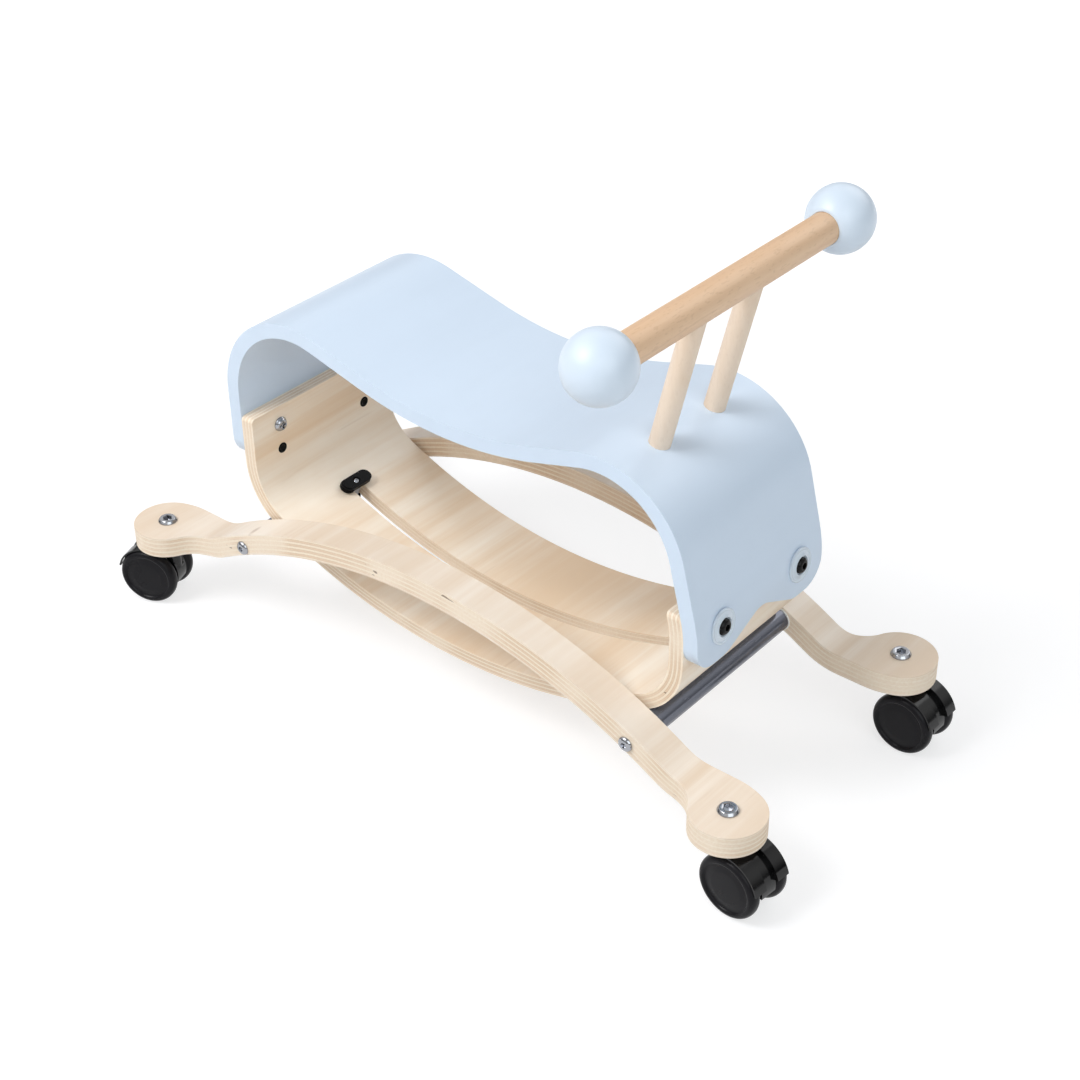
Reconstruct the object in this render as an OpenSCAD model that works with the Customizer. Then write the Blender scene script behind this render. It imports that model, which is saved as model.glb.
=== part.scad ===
/* [Seat] */
// Width of the bent seat shell and of the rocker base
seat_w = 154; // [146:1:158]
// Thickness of the seat's plywood
seat_t = 12; // [10:0.5:13]
// Distance from the middle to the outer face of each hanging end
seat_half = 230; // [229:0.5:234]
// Outer radius of the roll behind the rider
back_roll_r = 80; // [74:1:84]
// Height of that roll's centre
back_roll_z = 204; // [200:1:208]
// Outer radius of the roll in front of the rider
front_roll_r = 75.5; // [70:0.5:79]
// Distance from the seat's front face back to the front roll's centre
front_roll_in = 87; // [84:1:89]
// Height of the front roll's centre
front_roll_z = 208; // [205:1:212]
// Radius of the hollow that the rider sits in
dip_r = 308; // [290:1:320]
// Height of the lowest point of the hollow
dip_z = 258; // [254:1:262]
// Radius with which the front end turns down to the vertical
front_knee_r = 110; // [100:1:120]
// Height at which the front end becomes vertical
front_knee_z = 158; // [152:1:164]

/* [Scalloped ends] */
// Height of the lowest point of each lobe
lobe_z = 140; // [138:0.5:145]
// Radius of a lobe's outer corner
lobe_corner_r = 20; // [14:1:24]
// Radius of a lobe towards the notch
lobe_inner_r = 24; // [20:1:26]
// Distance of a lobe's inner arc's centre from the seat's edge
lobe_inner_in = 30; // [27:1:32]
// Height of the notch between the lobes
notch_z = 157.5; // [154:0.5:160]
// Radius at the top of the notch
notch_r = 20; // [14:1:24]

/* [Rocker base] */
// Thickness of the rocker's plywood
rocker_t = 12; // [10:0.5:13]
// Outer radius of the bends at both ends
bend_r = 58; // [52:1:62]
// Height of the bends' centres
bend_z = 142; // [138:1:146]
// Outer radius of the long sweep that rocks on the floor
sweep_r = 441; // [420:1:470]
// Height of the upturned ends
upturn_z = 183; // [179:1:186]
// Radius of the upturns' top corners
upturn_corner_r = 4; // [2:0.5:8]
// Width of the long slot
slot_w = 12; // [11.5:0.5:14]

/* [Seat bolts] */
// Distance of each bolt from the seat's edge
bolt_in = 29.5; // [25:0.5:33]
// Height of the bolts that hold seat and rocker together
bolt_z = 167; // [164:0.5:170]
// Height of the spare bolt holes in the rocker
spare_z = 144.5; // [143:0.5:148]
// Radius of the bolts' shanks
bolt_r = 3; // [2.5:0.25:3.5]
// Radius of the black bolt heads
bolt_head_r = 6.3; // [5.5:0.1:7]
// Height of the bolt heads
bolt_head_h = 3.4; // [2.5:0.1:4]
// Radius of the pale cup washers
cup_r = 13.5; // [11:0.5:15]
// Thickness of the cup washers
cup_t = 2.6; // [2:0.1:3]
// Radius of the flanged nuts inside
nut_r = 6.2; // [5.5:0.1:7]
// Height of the flanged nuts
nut_h = 3.6; // [3:0.1:5]

/* [Side arms] */
// Gap between the rocker base and each arm
arm_gap = 4.3; // [3.5:0.1:7]
// Width of an arm between its ends
arm_w = 28.3; // [26:0.1:30]
// Thickness of the arms' plywood
arm_t = 18; // [15:0.5:20]
// Height of the arms' top face at the ends
arm_end_z = 74; // [72:0.5:78]
// Height of the top of the arch
arch_z = 139; // [134:0.5:144]
// Height of the arms' middle over the cross tubes' axes
arm_over_tube = 2.64; // [1:0.1:4]
// Radius of the hollow between the arch and the flat ends
arm_hollow_r = 40; // [36:1:44]
// Distance of the casters beyond the seat's ends
caster_out = 54.6; // [52:0.2:60]
// Distance of the casters from the arms' inner edges
caster_in = 30.7; // [29.7:0.1:32.7]
// Radius of the arms' round ends
arm_end_r = 28; // [26:0.5:29]
// Radius that flares the outer edge into the round end
flare_r = 27; // [22:1:32]
// Radius that eases the inner edge into the round end
ease_r = 60; // [50:1:80]

/* [Cross tubes] */
// Outer radius of the steel cross tubes
tube_r = 9.5; // [8.5:0.25:10]
// Wall of the steel cross tubes
tube_wall = 1.6; // [1.2:0.1:2]
// Distance from the seat's faces back to the cross tubes
tube_in = 35.3; // [33.5:0.1:37]
// Thickness of the white washers at the tubes' ends
tube_washer_t = 1.2; // [0.8:0.1:2]
// Radius of the button heads on the arms' outer faces
tube_bolt_head_r = 6; // [5:0.25:7]
// Height of those button heads
tube_bolt_head_h = 3; // [2:0.25:4]

/* [Turn-buttons] */
// Distance from the seat's faces back to the turn-buttons
button_in = 55.5; // [55:0.25:58]
// Length of a turn-button
button_l = 31; // [27:0.5:33]
// Width of a turn-button
button_w = 12; // [11:0.25:13]
// Thickness of a turn-button
button_t = 3.8; // [3.4:0.1:5]
// Distance of a turn-button's underside from the rocker's upper face
button_lift = 2.2; // [2.1:0.1:3.5]
// Length of the saddles along the cross tubes
saddle_w = 26; // [22:1:30]
// Wall of the saddles round the cross tubes
saddle_wall = 3.5; // [3:0.25:4]

/* [Handlebar] */
// Radius of the wooden bar
bar_r = 12; // [11:0.25:13]
// Distance from the seat's front face back to the bar's axis
bar_in = 41; // [38:0.5:44]
// Height of the bar's axis
bar_z = 394; // [385:0.5:400]
// Distance of each post from the middle
post_y = 32; // [28:0.5:38]
// Radius of the posts
post_r = 8; // [7:0.25:9]
// Distance from the seat's front face back to the posts' feet
post_foot_in = 69; // [66:0.5:72]
// Radius of the wooden balls
ball_r = 25; // [23:0.25:27]
// Distance of the balls' centres from the middle
ball_y = 134.8; // [128:0.2:140]
// Distance of a ball's flat face from its centre
ball_flat = 21; // [19:0.25:21.5]

/* [Casters] */
// Radius of the wheels
wheel_r = 25; // [22:0.1:25.4]
// Distance of a wheel's outer face from the caster's middle
wheel_out = 19.6; // [18.5:0.1:20]
// Width of each wheel
wheel_w = 11.8; // [10.5:0.1:12.2]
// Distance from the swivel axis to the axle
trail = 16; // [14:0.5:17]
// Radius of the axles
axle_r = 2.5; // [2:0.1:3]
// Radius of the swivel stems
stem_r = 4; // [3.5:0.1:4.5]
// Radius of the flange of the nut on top of each arm
cap_nut_r = 7.9; // [7:0.1:9]
// Thickness of the fenders over the wheels
fender_t = 1.3; // [1:0.1:1.6]
// Swivel angle of the front caster on the right
swivel_front_right = -5.3; // [-180:0.1:180]
// Swivel angle of the front caster on the left
swivel_front_left = -1.6; // [-180:0.1:180]
// Swivel angle of the rear caster on the right
swivel_rear_right = 201.4; // [0:0.1:360]
// Swivel angle of the rear caster on the left
swivel_rear_left = 171; // [0:0.1:360]

/* [Hidden] */
$fn = 96;

// Clearances
fit = 0.05;
loose = 0.3;
// Arcs that touch are let into each other by this hair, so that they cross cleanly
seam = 0.003;
// How far cutting shapes reach past what they cut
over = 5;
seat_edge = seat_w / 2;
rocker_w = seat_w;
rocker_half = seat_half - seat_t;
bolt_hole_r = bolt_r + loose;
back_roll = [-(seat_half - back_roll_r), back_roll_z];
front_roll_x = seat_half - front_roll_in;
front_roll = [front_roll_x, front_roll_z];
dip = [0, dip_z + dip_r];
front_knee = [seat_half - front_knee_r, front_knee_z];
lobe_inner_y = seat_edge - lobe_inner_in;

// The front bolts stand square to the knee, which leans them back a little
bolt_y = seat_edge - bolt_in;
bolt_lean = asin((bolt_z - front_knee_z) / front_knee_r);
nut_sag = front_knee_r - seat_t - rocker_t
    - sqrt(pow(front_knee_r - seat_t - rocker_t, 2) - pow(nut_r, 2));

// Centre of the rocker's bends and of its sweep, which touch without a straight
bend_x = rocker_half - bend_r;
sweep_c_z = bend_z + sqrt(pow(sweep_r - bend_r, 2) - pow(bend_x, 2));
sweep_angle = asin(bend_x / (sweep_r - bend_r));

// The tubes lie against the rocker's bends
tube_gap = 0.25;
tube_x = seat_half - tube_in;
tube_z = bend_z - sqrt(pow(bend_r + tube_r + tube_gap, 2) - pow(tube_x - bend_x, 2));

// The arms' profile, whose arch passes just over the tubes and touches the hollows
arch_drop = arch_z - arm_t / 2 - tube_z - arm_over_tube;
arch_r = (pow(tube_x, 2) + pow(arch_drop, 2)) / (2 * arch_drop) + arm_t / 2;
arch_c_z = arch_z - arch_r;
arm_hollow_z = arm_end_z + arm_hollow_r;
arm_hollow_x = sqrt(pow(arch_r + arm_hollow_r, 2) - pow(arm_hollow_z - arch_c_z, 2));
arch_angle = asin(arm_hollow_x / (arch_r + arm_hollow_r));
arm_in_y = seat_edge + arm_gap;
arm_out_y = arm_in_y + arm_w;
caster_x = seat_half + caster_out;
caster_y = arm_in_y + caster_in;
arm_tip_x = caster_x + arm_end_r;
arm_under_z = arm_end_z - arm_t;

// What joins tubes and arms
tube_l = 2 * (arm_in_y - tube_washer_t);
tube_bolt_r = 3;
plug_l = 22;

// The turn-buttons stand over the slot's ends, square to the sweep's upper face
button_x = seat_half - button_in;
button_tilt = asin(button_x / (sweep_r - rocker_t));
button_foot = [button_x, sweep_c_z - (sweep_r - rocker_t) * cos(button_tilt)];
button_screw_r = 2;
button_head_r = 2.9;
button_head_h = 1.5;
button_screw_l = 26;
spacer_r = slot_w / 2 - 0.6;
saddle_boss_r = 7.9;
saddle_boss_l = 14;
saddle_a0 = 150;
saddle_a1 = 262;

// The posts lean from the seat to the bar
bar_x = seat_half - bar_in;
post_foot_x = seat_half - post_foot_in;
post_foot_z = front_roll_z + sqrt(pow(front_roll_r, 2) - pow(post_foot_x - front_roll_x, 2));
post_lean = atan2(bar_x - post_foot_x, bar_z - post_foot_z);
post_top = norm([bar_x - post_foot_x, bar_z - post_foot_z]);
post_screw_r = 2.2;
post_screw_l = 34;
post_washer_r = 10;
post_washer_t = 0.9;
bar_half = ball_y - 6;

// Inside the casters
wheel_in = wheel_out - wheel_w;
hood_half = wheel_in - 0.5;
web_t = 1.2;
fender_in_r = wheel_r + 0.6;
fender_out_r = fender_in_r + fender_t;
fender_side = wheel_out - 2.2;
fender_a0 = 15;
fender_a1 = 122;
core_r = wheel_r - 1.8;
core_a0 = -8;
core_a1 = 200;
hub_r = 8;
boss_r = hood_half;
neck_z = wheel_r + 4;
neck_h = 16;
flange_t = 2;
boss_top_z = arm_under_z - flange_t - loose;
stem_foot_z = boss_top_z - 14;
cap_nut_h = 3;
sleeve_r = 5;

// Heading of the straight from one signed arc to the next
function heading(c1, r1, c2, r2) =
    let (d = c2 - c1) atan2(d[1], d[0]) - asin((r2 - r1) / norm(d));
// Where that straight ends, a hair inside a signed arc's circle
function touch(c, r, h) = c - (r - sign(r) * seam) * [-sin(h), cos(h)];
// The unit vector of v
function unit(v) = v / norm(v);
function polar(r, a) = r * [cos(a), sin(a)];

// Part of a flat ring from angle a0 to angle a1, lapping a hair over what it joins
module ring_part(c, r_in, r_out, a0, a1) {
    far = 1.5 * r_out;
    steps = 4;
    lap = seam / r_in * 180 / PI;
    from = a0 - lap;
    span = a1 - a0 + 2 * lap;
    translate(c) intersection() {
        difference() {
            circle(r = r_out);
            circle(r = r_in);
        }
        polygon(concat([[0, 0]], [for (i = [0 : steps]) polar(far, from + span * i / steps)]));
    }
}

// The same ring part on the right (s = 1) or mirrored to the left (s = -1)
module ring_on(s, c, r_in, r_out, a0, a1) {
    if (s > 0) ring_part(c, r_in, r_out, a0, a1);
    else ring_part([-c[0], c[1]], r_in, r_out, 180 - a1, 180 - a0);
}

// An outline's points on the right, or mirrored to the left and turned round
function points_on(s, pts) =
    s > 0 ? pts : [for (i = [len(pts) - 1 : -1 : 0]) [-pts[i][0], pts[i][1]]];

// A flat outline in X and Z, given a width along Y
module along_y(w) {
    rotate([90, 0, 0]) linear_extrude(height = w, center = true) children();
}

// A flat outline in Y and Z, running from x0 to x1
module along_x(x0, x1) {
    translate([x0, 0, 0]) rotate([90, 0, 90]) linear_extrude(height = x1 - x0) children();
}

// A round bar along Y
module rod_y(r, l) {
    rotate([90, 0, 0]) cylinder(r = r, h = l, center = true);
}

// A round bar along X, from x0 to x1
module rod_x(r, x0, x1) {
    translate([x0, 0, 0]) rotate([0, 90, 0]) cylinder(r = r, h = x1 - x0);
}

// What lies below the seat's top face (k = 0) or below its lower face (k = seat_t)
module under_seat(k) {
    h1 = heading(back_roll, -back_roll_r, dip, dip_r);
    h2 = heading(dip, dip_r, front_roll, -front_roll_r);
    h3 = heading(front_roll, -front_roll_r, front_knee, -front_knee_r);
    difference() {
        union() {
            polygon([
                [k - seat_half, lobe_z - over - k], [seat_half - k, lobe_z - over - k],
                [seat_half - k, front_knee_z], touch(front_knee, k - front_knee_r, h3),
                touch(front_roll, k - front_roll_r, h3), touch(front_roll, k - front_roll_r, h2),
                touch(dip, dip_r + k, h2), touch(dip, dip_r + k, h1),
                touch(back_roll, k - back_roll_r, h1), [k - seat_half, back_roll_z]
            ]);
            translate(back_roll) circle(r = back_roll_r - k);
            translate(front_roll) circle(r = front_roll_r - k);
            translate(front_knee) circle(r = front_knee_r - k);
        }
        translate(dip) circle(r = dip_r + k);
    }
}

// The seat's side view: roll, hollow, roll and hanging front
module seat_profile() {
    intersection() {
        difference() {
            under_seat(0);
            under_seat(seat_t);
        }
        translate([-seat_half - over, lobe_z - 1]) square([2 * (seat_half + over), 2 * back_roll_r]);
    }
}

// The seat seen from the front: a lobe round each bolt and a notch between
module lobed_front() {
    top = front_roll_z + 2 * front_roll_r;
    corner = [seat_edge - lobe_corner_r, lobe_z + lobe_corner_r];
    inner = [lobe_inner_y, lobe_z + lobe_inner_r];
    notch = [0, notch_z - notch_r];
    // Travelling outwards, the notch turns right and the lobe turns left
    h = heading(notch, -notch_r, inner, lobe_inner_r);
    right = [
        touch(notch, -notch_r, h), touch(inner, lobe_inner_r, h), [inner[0], lobe_z],
        [corner[0], lobe_z], [seat_edge, corner[1]], [seat_edge, top]
    ];
    difference() {
        union() {
            polygon(concat(right, points_on(-1, right)));
            for (s = [-1, 1]) {
                translate([s * inner[0], inner[1]]) circle(r = lobe_inner_r);
                translate([s * corner[0], corner[1]]) circle(r = lobe_corner_r);
            }
        }
        translate(notch) circle(r = notch_r);
    }
}

// Places its children at the seat bolts of one end, with +Z pointing outwards
module at_bolts(s) {
    x = s > 0 ? front_knee[0] + front_knee_r * cos(bolt_lean) : -seat_half;
    for (e = [-1, 1]) translate([x, e * bolt_y, bolt_z])
        rotate([0, s > 0 ? 90 - bolt_lean : -90, 0]) children();
}

module bolt_holes() {
    depth = 2 * (seat_t + rocker_t);
    for (s = [-1, 1]) at_bolts(s) translate([0, 0, -depth]) cylinder(r = bolt_hole_r, h = depth + over);
}

module seat_shell() {
    reach = seat_half + over;
    color("#c3d6e8") difference() {
        intersection() {
            along_y(seat_w + 2 * over) seat_profile();
            along_x(-reach, reach) lobed_front();
        }
        bolt_holes();
        for (s = [-1, 1]) translate([post_foot_x, s * post_y, post_foot_z])
            rotate([0, post_lean, 0]) cylinder(r = post_r + fit, h = 4 * seat_t, center = true);
    }
}

// What lies above the rocker's lower face (k = 0) or above its upper face (k = rocker_t)
module over_rocker(k) {
    far = 2 * sweep_r * [sin(sweep_angle), -cos(sweep_angle)] + [0, sweep_c_z];
    right = [far, [bend_x, bend_z], [bend_x, bend_z + over]];
    translate([k - rocker_half, bend_z])
        square([2 * (rocker_half - k), upturn_z - bend_z + over + k]);
    for (s = [-1, 1]) translate([s * bend_x, bend_z]) circle(r = bend_r - k);
    intersection() {
        translate([0, sweep_c_z]) circle(r = sweep_r - k - seam);
        polygon(concat(right, points_on(-1, right)));
    }
}

// The rocker's front end above the knee's centre: the plane part or the bent part
module front_upturn() {
    r = front_knee_r - seat_t;
    intersection() {
        difference() {
            translate(front_knee) circle(r = r);
            translate(front_knee) circle(r = r - rocker_t);
        }
        translate([front_knee[0] + r / 2, front_knee_z - seam]) square([r, upturn_z - front_knee_z + seam]);
    }
}

// The rocker's side view: upturn, bend, sweep, bend and upturn
module rocker_profile() {
    front_upturn();
    difference() {
        intersection() {
            difference() {
                over_rocker(0);
                over_rocker(rocker_t);
            }
            translate([-rocker_half - over, 0]) square([2 * (rocker_half + over), upturn_z]);
        }
        translate([0, front_knee_z]) square([rocker_half + over, upturn_z]);
    }
}

module rocker_base() {
    r = upturn_corner_r;
    color("#e4d0b4") difference() {
        along_y(rocker_w) rocker_profile();
        cube([2 * (button_x - slot_w), slot_w, 2 * bend_z], center = true);
        for (s = [-1, 1]) at_button(s) translate([0, 0, -2 * rocker_t]) {
            cylinder(r = slot_w / 2, h = 4 * rocker_t);
            translate([s > 0 ? -2 * slot_w : 0, -slot_w / 2, 0]) cube([2 * slot_w, slot_w, 4 * rocker_t]);
        }
        bolt_holes();
        for (s = [-1, 1]) translate([0, s * bolt_y, spare_z])
            rod_x(bolt_hole_r, -rocker_half - over, rocker_half + over);
        along_x(-rocker_half - over, rocker_half + over) for (s = [-1, 1])
            translate([s * (rocker_w / 2 - r), upturn_z - r]) difference() {
                translate([s > 0 ? 0 : -2 * r, 0]) square(2 * r);
                circle(r = r + seam);
            }
    }
}

// What lies below an arm's top face (k = 0) or below its lower face (k = arm_t)
module under_arm(k) {
    top = arm_end_z - k;
    reach = arm_tip_x + over + k;
    join = [0, arch_c_z] + (arch_r - k) * [sin(arch_angle), cos(arch_angle)];
    right = [[reach, -over - k], [reach, top], [arm_hollow_x, top], join];
    difference() {
        union() {
            polygon(concat(right, points_on(-1, right)));
            intersection() {
                translate([0, arch_c_z]) circle(r = arch_r - k);
                translate([-join[0], top]) square([2 * join[0], arch_r]);
            }
        }
        for (s = [-1, 1])
            translate([s * arm_hollow_x, arm_hollow_z]) circle(r = arm_hollow_r + k + seam);
    }
}

// An arm seen from above: a straight strip with round, flared ends
module arm_plan() {
    flare_c = [caster_x - sqrt(pow(flare_r + arm_end_r, 2) - pow(arm_out_y + flare_r - caster_y, 2)),
        arm_out_y + flare_r];
    ease_c = [caster_x - sqrt(pow(ease_r - arm_end_r, 2) - pow(arm_in_y + ease_r - caster_y, 2)),
        arm_in_y + ease_r];
    tip = [caster_x, caster_y];
    flare_p = tip + arm_end_r * unit(flare_c - tip);
    ease_p = ease_c + ease_r * unit(tip - ease_c);
    right = [[ease_c[0], arm_in_y], ease_p, tip, flare_p, [flare_c[0], arm_out_y]];
    difference() {
        union() {
            polygon(concat(right, points_on(-1, right)));
            for (s = [-1, 1]) {
                translate([s * tip[0], tip[1]]) circle(r = arm_end_r + seam);
                intersection() {
                    translate([s * ease_c[0], ease_c[1]]) circle(r = ease_r);
                    polygon(points_on(s, [[ease_c[0], caster_y], [ease_c[0], arm_in_y - over],
                        2 * ease_p - ease_c, tip]));
                }
            }
        }
        for (s = [-1, 1]) translate([s * flare_c[0], flare_c[1]]) circle(r = flare_r);
    }
}

// The arm on the left; the right one is its mirror image
module arm() {
    color("#e8d6bc") difference() {
        intersection() {
            translate([0, caster_y, 0]) along_y(4 * arm_end_r) difference() {
                under_arm(0);
                under_arm(arm_t);
            }
            linear_extrude(height = arch_z + over) arm_plan();
        }
        for (s = [-1, 1]) {
            translate([s * tube_x, arm_in_y + arm_w / 2, tube_z]) rod_y(tube_bolt_r + loose, arm_w + 40);
            translate([s * caster_x, caster_y, 0]) cylinder(r = sleeve_r + fit, h = 150);
        }
    }
}

module arm_left() {
    arm();
}

module arm_right() {
    mirror([0, 1, 0]) arm();
}

module cross_tube(s) {
    color("#55565c") translate([s * tube_x, 0, tube_z]) difference() {
        rod_y(tube_r, tube_l);
        rod_y(tube_r - tube_wall, tube_l + 2);
    }
}

module front_cross_tube() {
    cross_tube(1);
}

module rear_cross_tube() {
    cross_tube(-1);
}

// Places its children at the four ends of the cross tubes, with +Y pointing outwards
module at_tube_ends() {
    for (sx = [-1, 1]) for (a = [0, 180])
        translate([sx * tube_x, 0, tube_z]) rotate([0, 0, a]) children();
}

module tube_plugs() {
    color("#9a9ca0") at_tube_ends() translate([0, tube_l / 2 - plug_l / 2 - 0.5, 0]) difference() {
        rod_y(tube_r - tube_wall - fit, plug_l);
        rod_y(tube_bolt_r + fit, plug_l + 2);
    }
}

module tube_washers() {
    color("#f2f2ef") at_tube_ends() translate([0, arm_in_y - tube_washer_t / 2, 0]) difference() {
        rod_y(tube_r + 0.7, tube_washer_t);
        rod_y(tube_bolt_r + loose, tube_washer_t + 2);
    }
}

// A domed head with a hexagonal socket, standing on the plane z = 0
module button_head(r, h, socket_r, socket_depth) {
    difference() {
        rotate_extrude() intersection() {
            translate([0, h - (r * r + h * h) / (2 * h)]) circle(r = (r * r + h * h) / (2 * h));
            square([r, h]);
        }
        translate([0, 0, h - socket_depth]) cylinder(r = socket_r, h = socket_depth + 1, $fn = 6);
    }
}

module tube_bolts() {
    shank_l = arm_w + tube_washer_t + 16;
    color("#d9dadc") at_tube_ends() translate([0, arm_out_y, 0]) {
        rotate([-90, 0, 0]) button_head(tube_bolt_head_r, tube_bolt_head_h, 2.3, 1.8);
        translate([0, -shank_l / 2, 0]) rod_y(tube_bolt_r, shank_l);
    }
}

// Places its children at a turn-button's foot, with +Z along its screw
module at_button(s) {
    translate([s * button_foot[0], 0, button_foot[1]])
        rotate([0, -s * button_tilt, 0]) children();
}

// A saddle hugs the hidden side of the cross tube and takes the turn-button's screw
module saddle(s) {
    color("#1c1c1e") difference() {
        union() {
            along_y(saddle_w) ring_on(s, [tube_x, tube_z], tube_r + fit, tube_r + saddle_wall, saddle_a0, saddle_a1);
            at_button(s) translate([0, 0, -rocker_t - saddle_boss_l])
                cylinder(r = saddle_boss_r, h = saddle_boss_l);
        }
        translate([s * tube_x, 0, tube_z]) rod_y(tube_r + fit, saddle_w + 2);
        translate([s * bend_x, 0, bend_z]) rod_y(bend_r + tube_gap, saddle_w + 2);
        translate([0, 0, sweep_c_z]) rod_y(sweep_r + tube_gap, saddle_w + 2);
        at_button(s) translate([0, 0, -rocker_t - saddle_boss_l - 1])
            cylinder(r = button_screw_r + fit, h = saddle_boss_l + 2);
    }
}

module front_saddle() {
    saddle(1);
}

module rear_saddle() {
    saddle(-1);
}

// A turn-button lies across the slot at rest; its screw's head is sunk in it
module turn_button(s) {
    half = button_l / 2 - button_w / 2;
    color("#111113") at_button(s) translate([0, 0, button_lift]) difference() {
        union() {
            linear_extrude(height = button_t) {
                square([button_w, 2 * half], center = true);
                for (e = [-1, 1]) translate([0, e * half]) circle(d = button_w);
            }
            translate([0, -half, 0]) cylinder(d = button_w + 1.2, h = button_t / 2);
            translate([0, -half, 0]) cylinder(d = button_w - 3, h = button_t + 0.8);
        }
        translate([0, 0, -1]) cylinder(r = button_screw_r + fit, h = button_t + 2);
        translate([0, 0, button_t - button_head_h]) cylinder(r = button_head_r + loose, h = 3);
    }
}

module front_turn_button() {
    turn_button(1);
}

module rear_turn_button() {
    turn_button(-1);
}

module button_screws() {
    head_z = button_lift + button_t - button_head_h + fit;
    color("#d9dadc") for (s = [-1, 1]) at_button(s) {
        translate([0, 0, head_z]) button_head(button_head_r, button_head_h, 1.3, 1);
        translate([0, 0, -button_screw_l + head_z]) cylinder(r = button_screw_r, h = button_screw_l);
    }
}

// The sleeves that stand in the slot and carry the turn-buttons
module button_spacers() {
    foot = rocker_t - fit;
    color("#8d9094") for (s = [-1, 1]) at_button(s) translate([0, 0, -foot]) difference() {
        cylinder(r = spacer_r, h = foot + button_lift - fit);
        translate([0, 0, -1]) cylinder(r = button_screw_r + fit, h = foot + button_lift + 2);
    }
}

// Places its children at a post's foot, with +Z up the post
module at_post(s) {
    translate([post_foot_x, s * post_y, post_foot_z]) rotate([0, post_lean, 0]) children();
}

module handle_bar() {
    color("#d8b896") difference() {
        translate([bar_x, 0, bar_z]) rod_y(bar_r, 2 * bar_half);
        for (s = [-1, 1]) at_post(s) translate([0, 0, post_top - bar_r - 5])
            cylinder(r = post_r + fit, h = bar_r + 3);
    }
}

module post(s) {
    foot = seat_t - 0.5;
    color("#ecdcc4") at_post(s) difference() {
        translate([0, 0, -foot]) cylinder(r = post_r, h = foot + post_top - 2.2);
        translate([0, 0, -seat_t - 1]) cylinder(r = post_screw_r + fit, h = post_screw_l + 2);
    }
}

module post_right() {
    post(-1);
}

module post_left() {
    post(1);
}

// Long screws with washers that draw the posts into the seat from below
module post_screws() {
    under_r = front_roll_r - seat_t;
    sag = under_r - sqrt(pow(under_r, 2) - pow(post_washer_r, 2));
    color("#d9dadc") for (s = [-1, 1]) at_post(s) translate([0, 0, -seat_t - sag - 2 * fit]) mirror([0, 0, 1]) {
        cylinder(r = post_washer_r, h = post_washer_t);
        translate([0, 0, post_washer_t]) button_head(5, 2.4, 1.7, 1.2);
        translate([0, 0, -post_screw_l]) cylinder(r = post_screw_r, h = post_screw_l + post_washer_t);
    }
}

// A ball, flat where it meets the bar, with a socket for the bar's end
module ball(s) {
    socket = ball_y - bar_half - fit;
    color("#c9dbea") translate([bar_x, s * ball_y, bar_z]) rotate([s * 90, 0, 0])
    rotate_extrude() difference() {
        intersection() {
            circle(r = ball_r);
            translate([0, -ball_r]) square([ball_r, ball_r + ball_flat]);
        }
        translate([-1, socket]) square([bar_r + fit + 1, ball_r]);
    }
}

module ball_right() {
    ball(-1);
}

module ball_left() {
    ball(1);
}

module bolts(s) {
    seat = 1;
    shank_l = seat + seat_t + rocker_t + 1.6;
    color("#141416") at_bolts(s) translate([0, 0, seat]) {
        button_head(bolt_head_r, bolt_head_h, 2.5, 2);
        translate([0, 0, -shank_l]) cylinder(r = bolt_r, h = shank_l);
    }
}

// A cup washer: thin rim, raised ring and a sunk seat for the bolt's head
module cup_washers(s) {
    well = bolt_head_r + 0.6;
    color("#dfe9f1") at_bolts(s) rotate_extrude() polygon([
        [bolt_r + loose, 0], [cup_r, 0], [cup_r, 0.8], [cup_r - 3.2, cup_t],
        [well + 0.8, cup_t], [well, cup_t - 0.8], [well, 1], [bolt_r + loose, 1]
    ]);
}

// A flanged nut with a domed end and a socket, on the rocker's inner face
module nuts(s) {
    sag = s > 0 ? nut_sag + fit : 0;
    color("#dcdddf") at_bolts(s) translate([0, 0, -seat_t - rocker_t - sag]) mirror([0, 0, 1]) difference() {
        union() {
            cylinder(r = nut_r, h = 1.2);
            translate([0, 0, 1.2]) button_head(nut_r - 0.5, nut_h - 1.2, 2, 1.2);
        }
        translate([0, 0, -1]) cylinder(r = bolt_r + fit, h = 2.6);
    }
}

module front_bolts() {
    bolts(1);
}

module rear_bolts() {
    bolts(-1);
}

module front_washers() {
    cup_washers(1);
}

module rear_washers() {
    cup_washers(-1);
}

module front_nuts() {
    nuts(1);
}

module rear_nuts() {
    nuts(-1);
}

// A caster's frame: swivel axis at the origin, axle at x = trail, wheels along Y
module caster_hood() {
    axle = [trail, 0, wheel_r];
    color("#0e0e10") difference() {
        union() {
            // The core between the wheels, open below
            translate(axle) along_y(2 * hood_half) ring_part([0, 0], hub_r - 2, core_r, core_a0, core_a1);
            translate(axle) rod_y(hub_r, 2 * hood_half);
            // Two thin side walls carry the fenders out over the wheels
            for (s = [-1, 1]) {
                translate(axle + [0, s * (hood_half - web_t / 2), 0]) along_y(web_t)
                    ring_part([0, 0], 2 * hub_r, fender_out_r, fender_a0, fender_a1);
                translate(axle + [0, s * (hood_half - web_t + fender_side) / 2, 0])
                    along_y(fender_side - hood_half + web_t)
                    ring_part([0, 0], fender_in_r, fender_out_r, fender_a0, fender_a1);
            }
            translate([0, 0, neck_z]) cylinder(r = boss_r, h = boss_top_z - neck_z);
            translate([0, -boss_r, neck_z]) cube([trail, 2 * boss_r, neck_h]);
        }
        translate([0, 0, stem_foot_z]) cylinder(r = stem_r + fit, h = 40);
        translate(axle) rod_y(axle_r + fit, 60);
    }
}

module caster_axle() {
    color("#b9babd") translate([trail, 0, wheel_r]) rod_y(axle_r, 2 * (wheel_out - 4));
}

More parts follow.
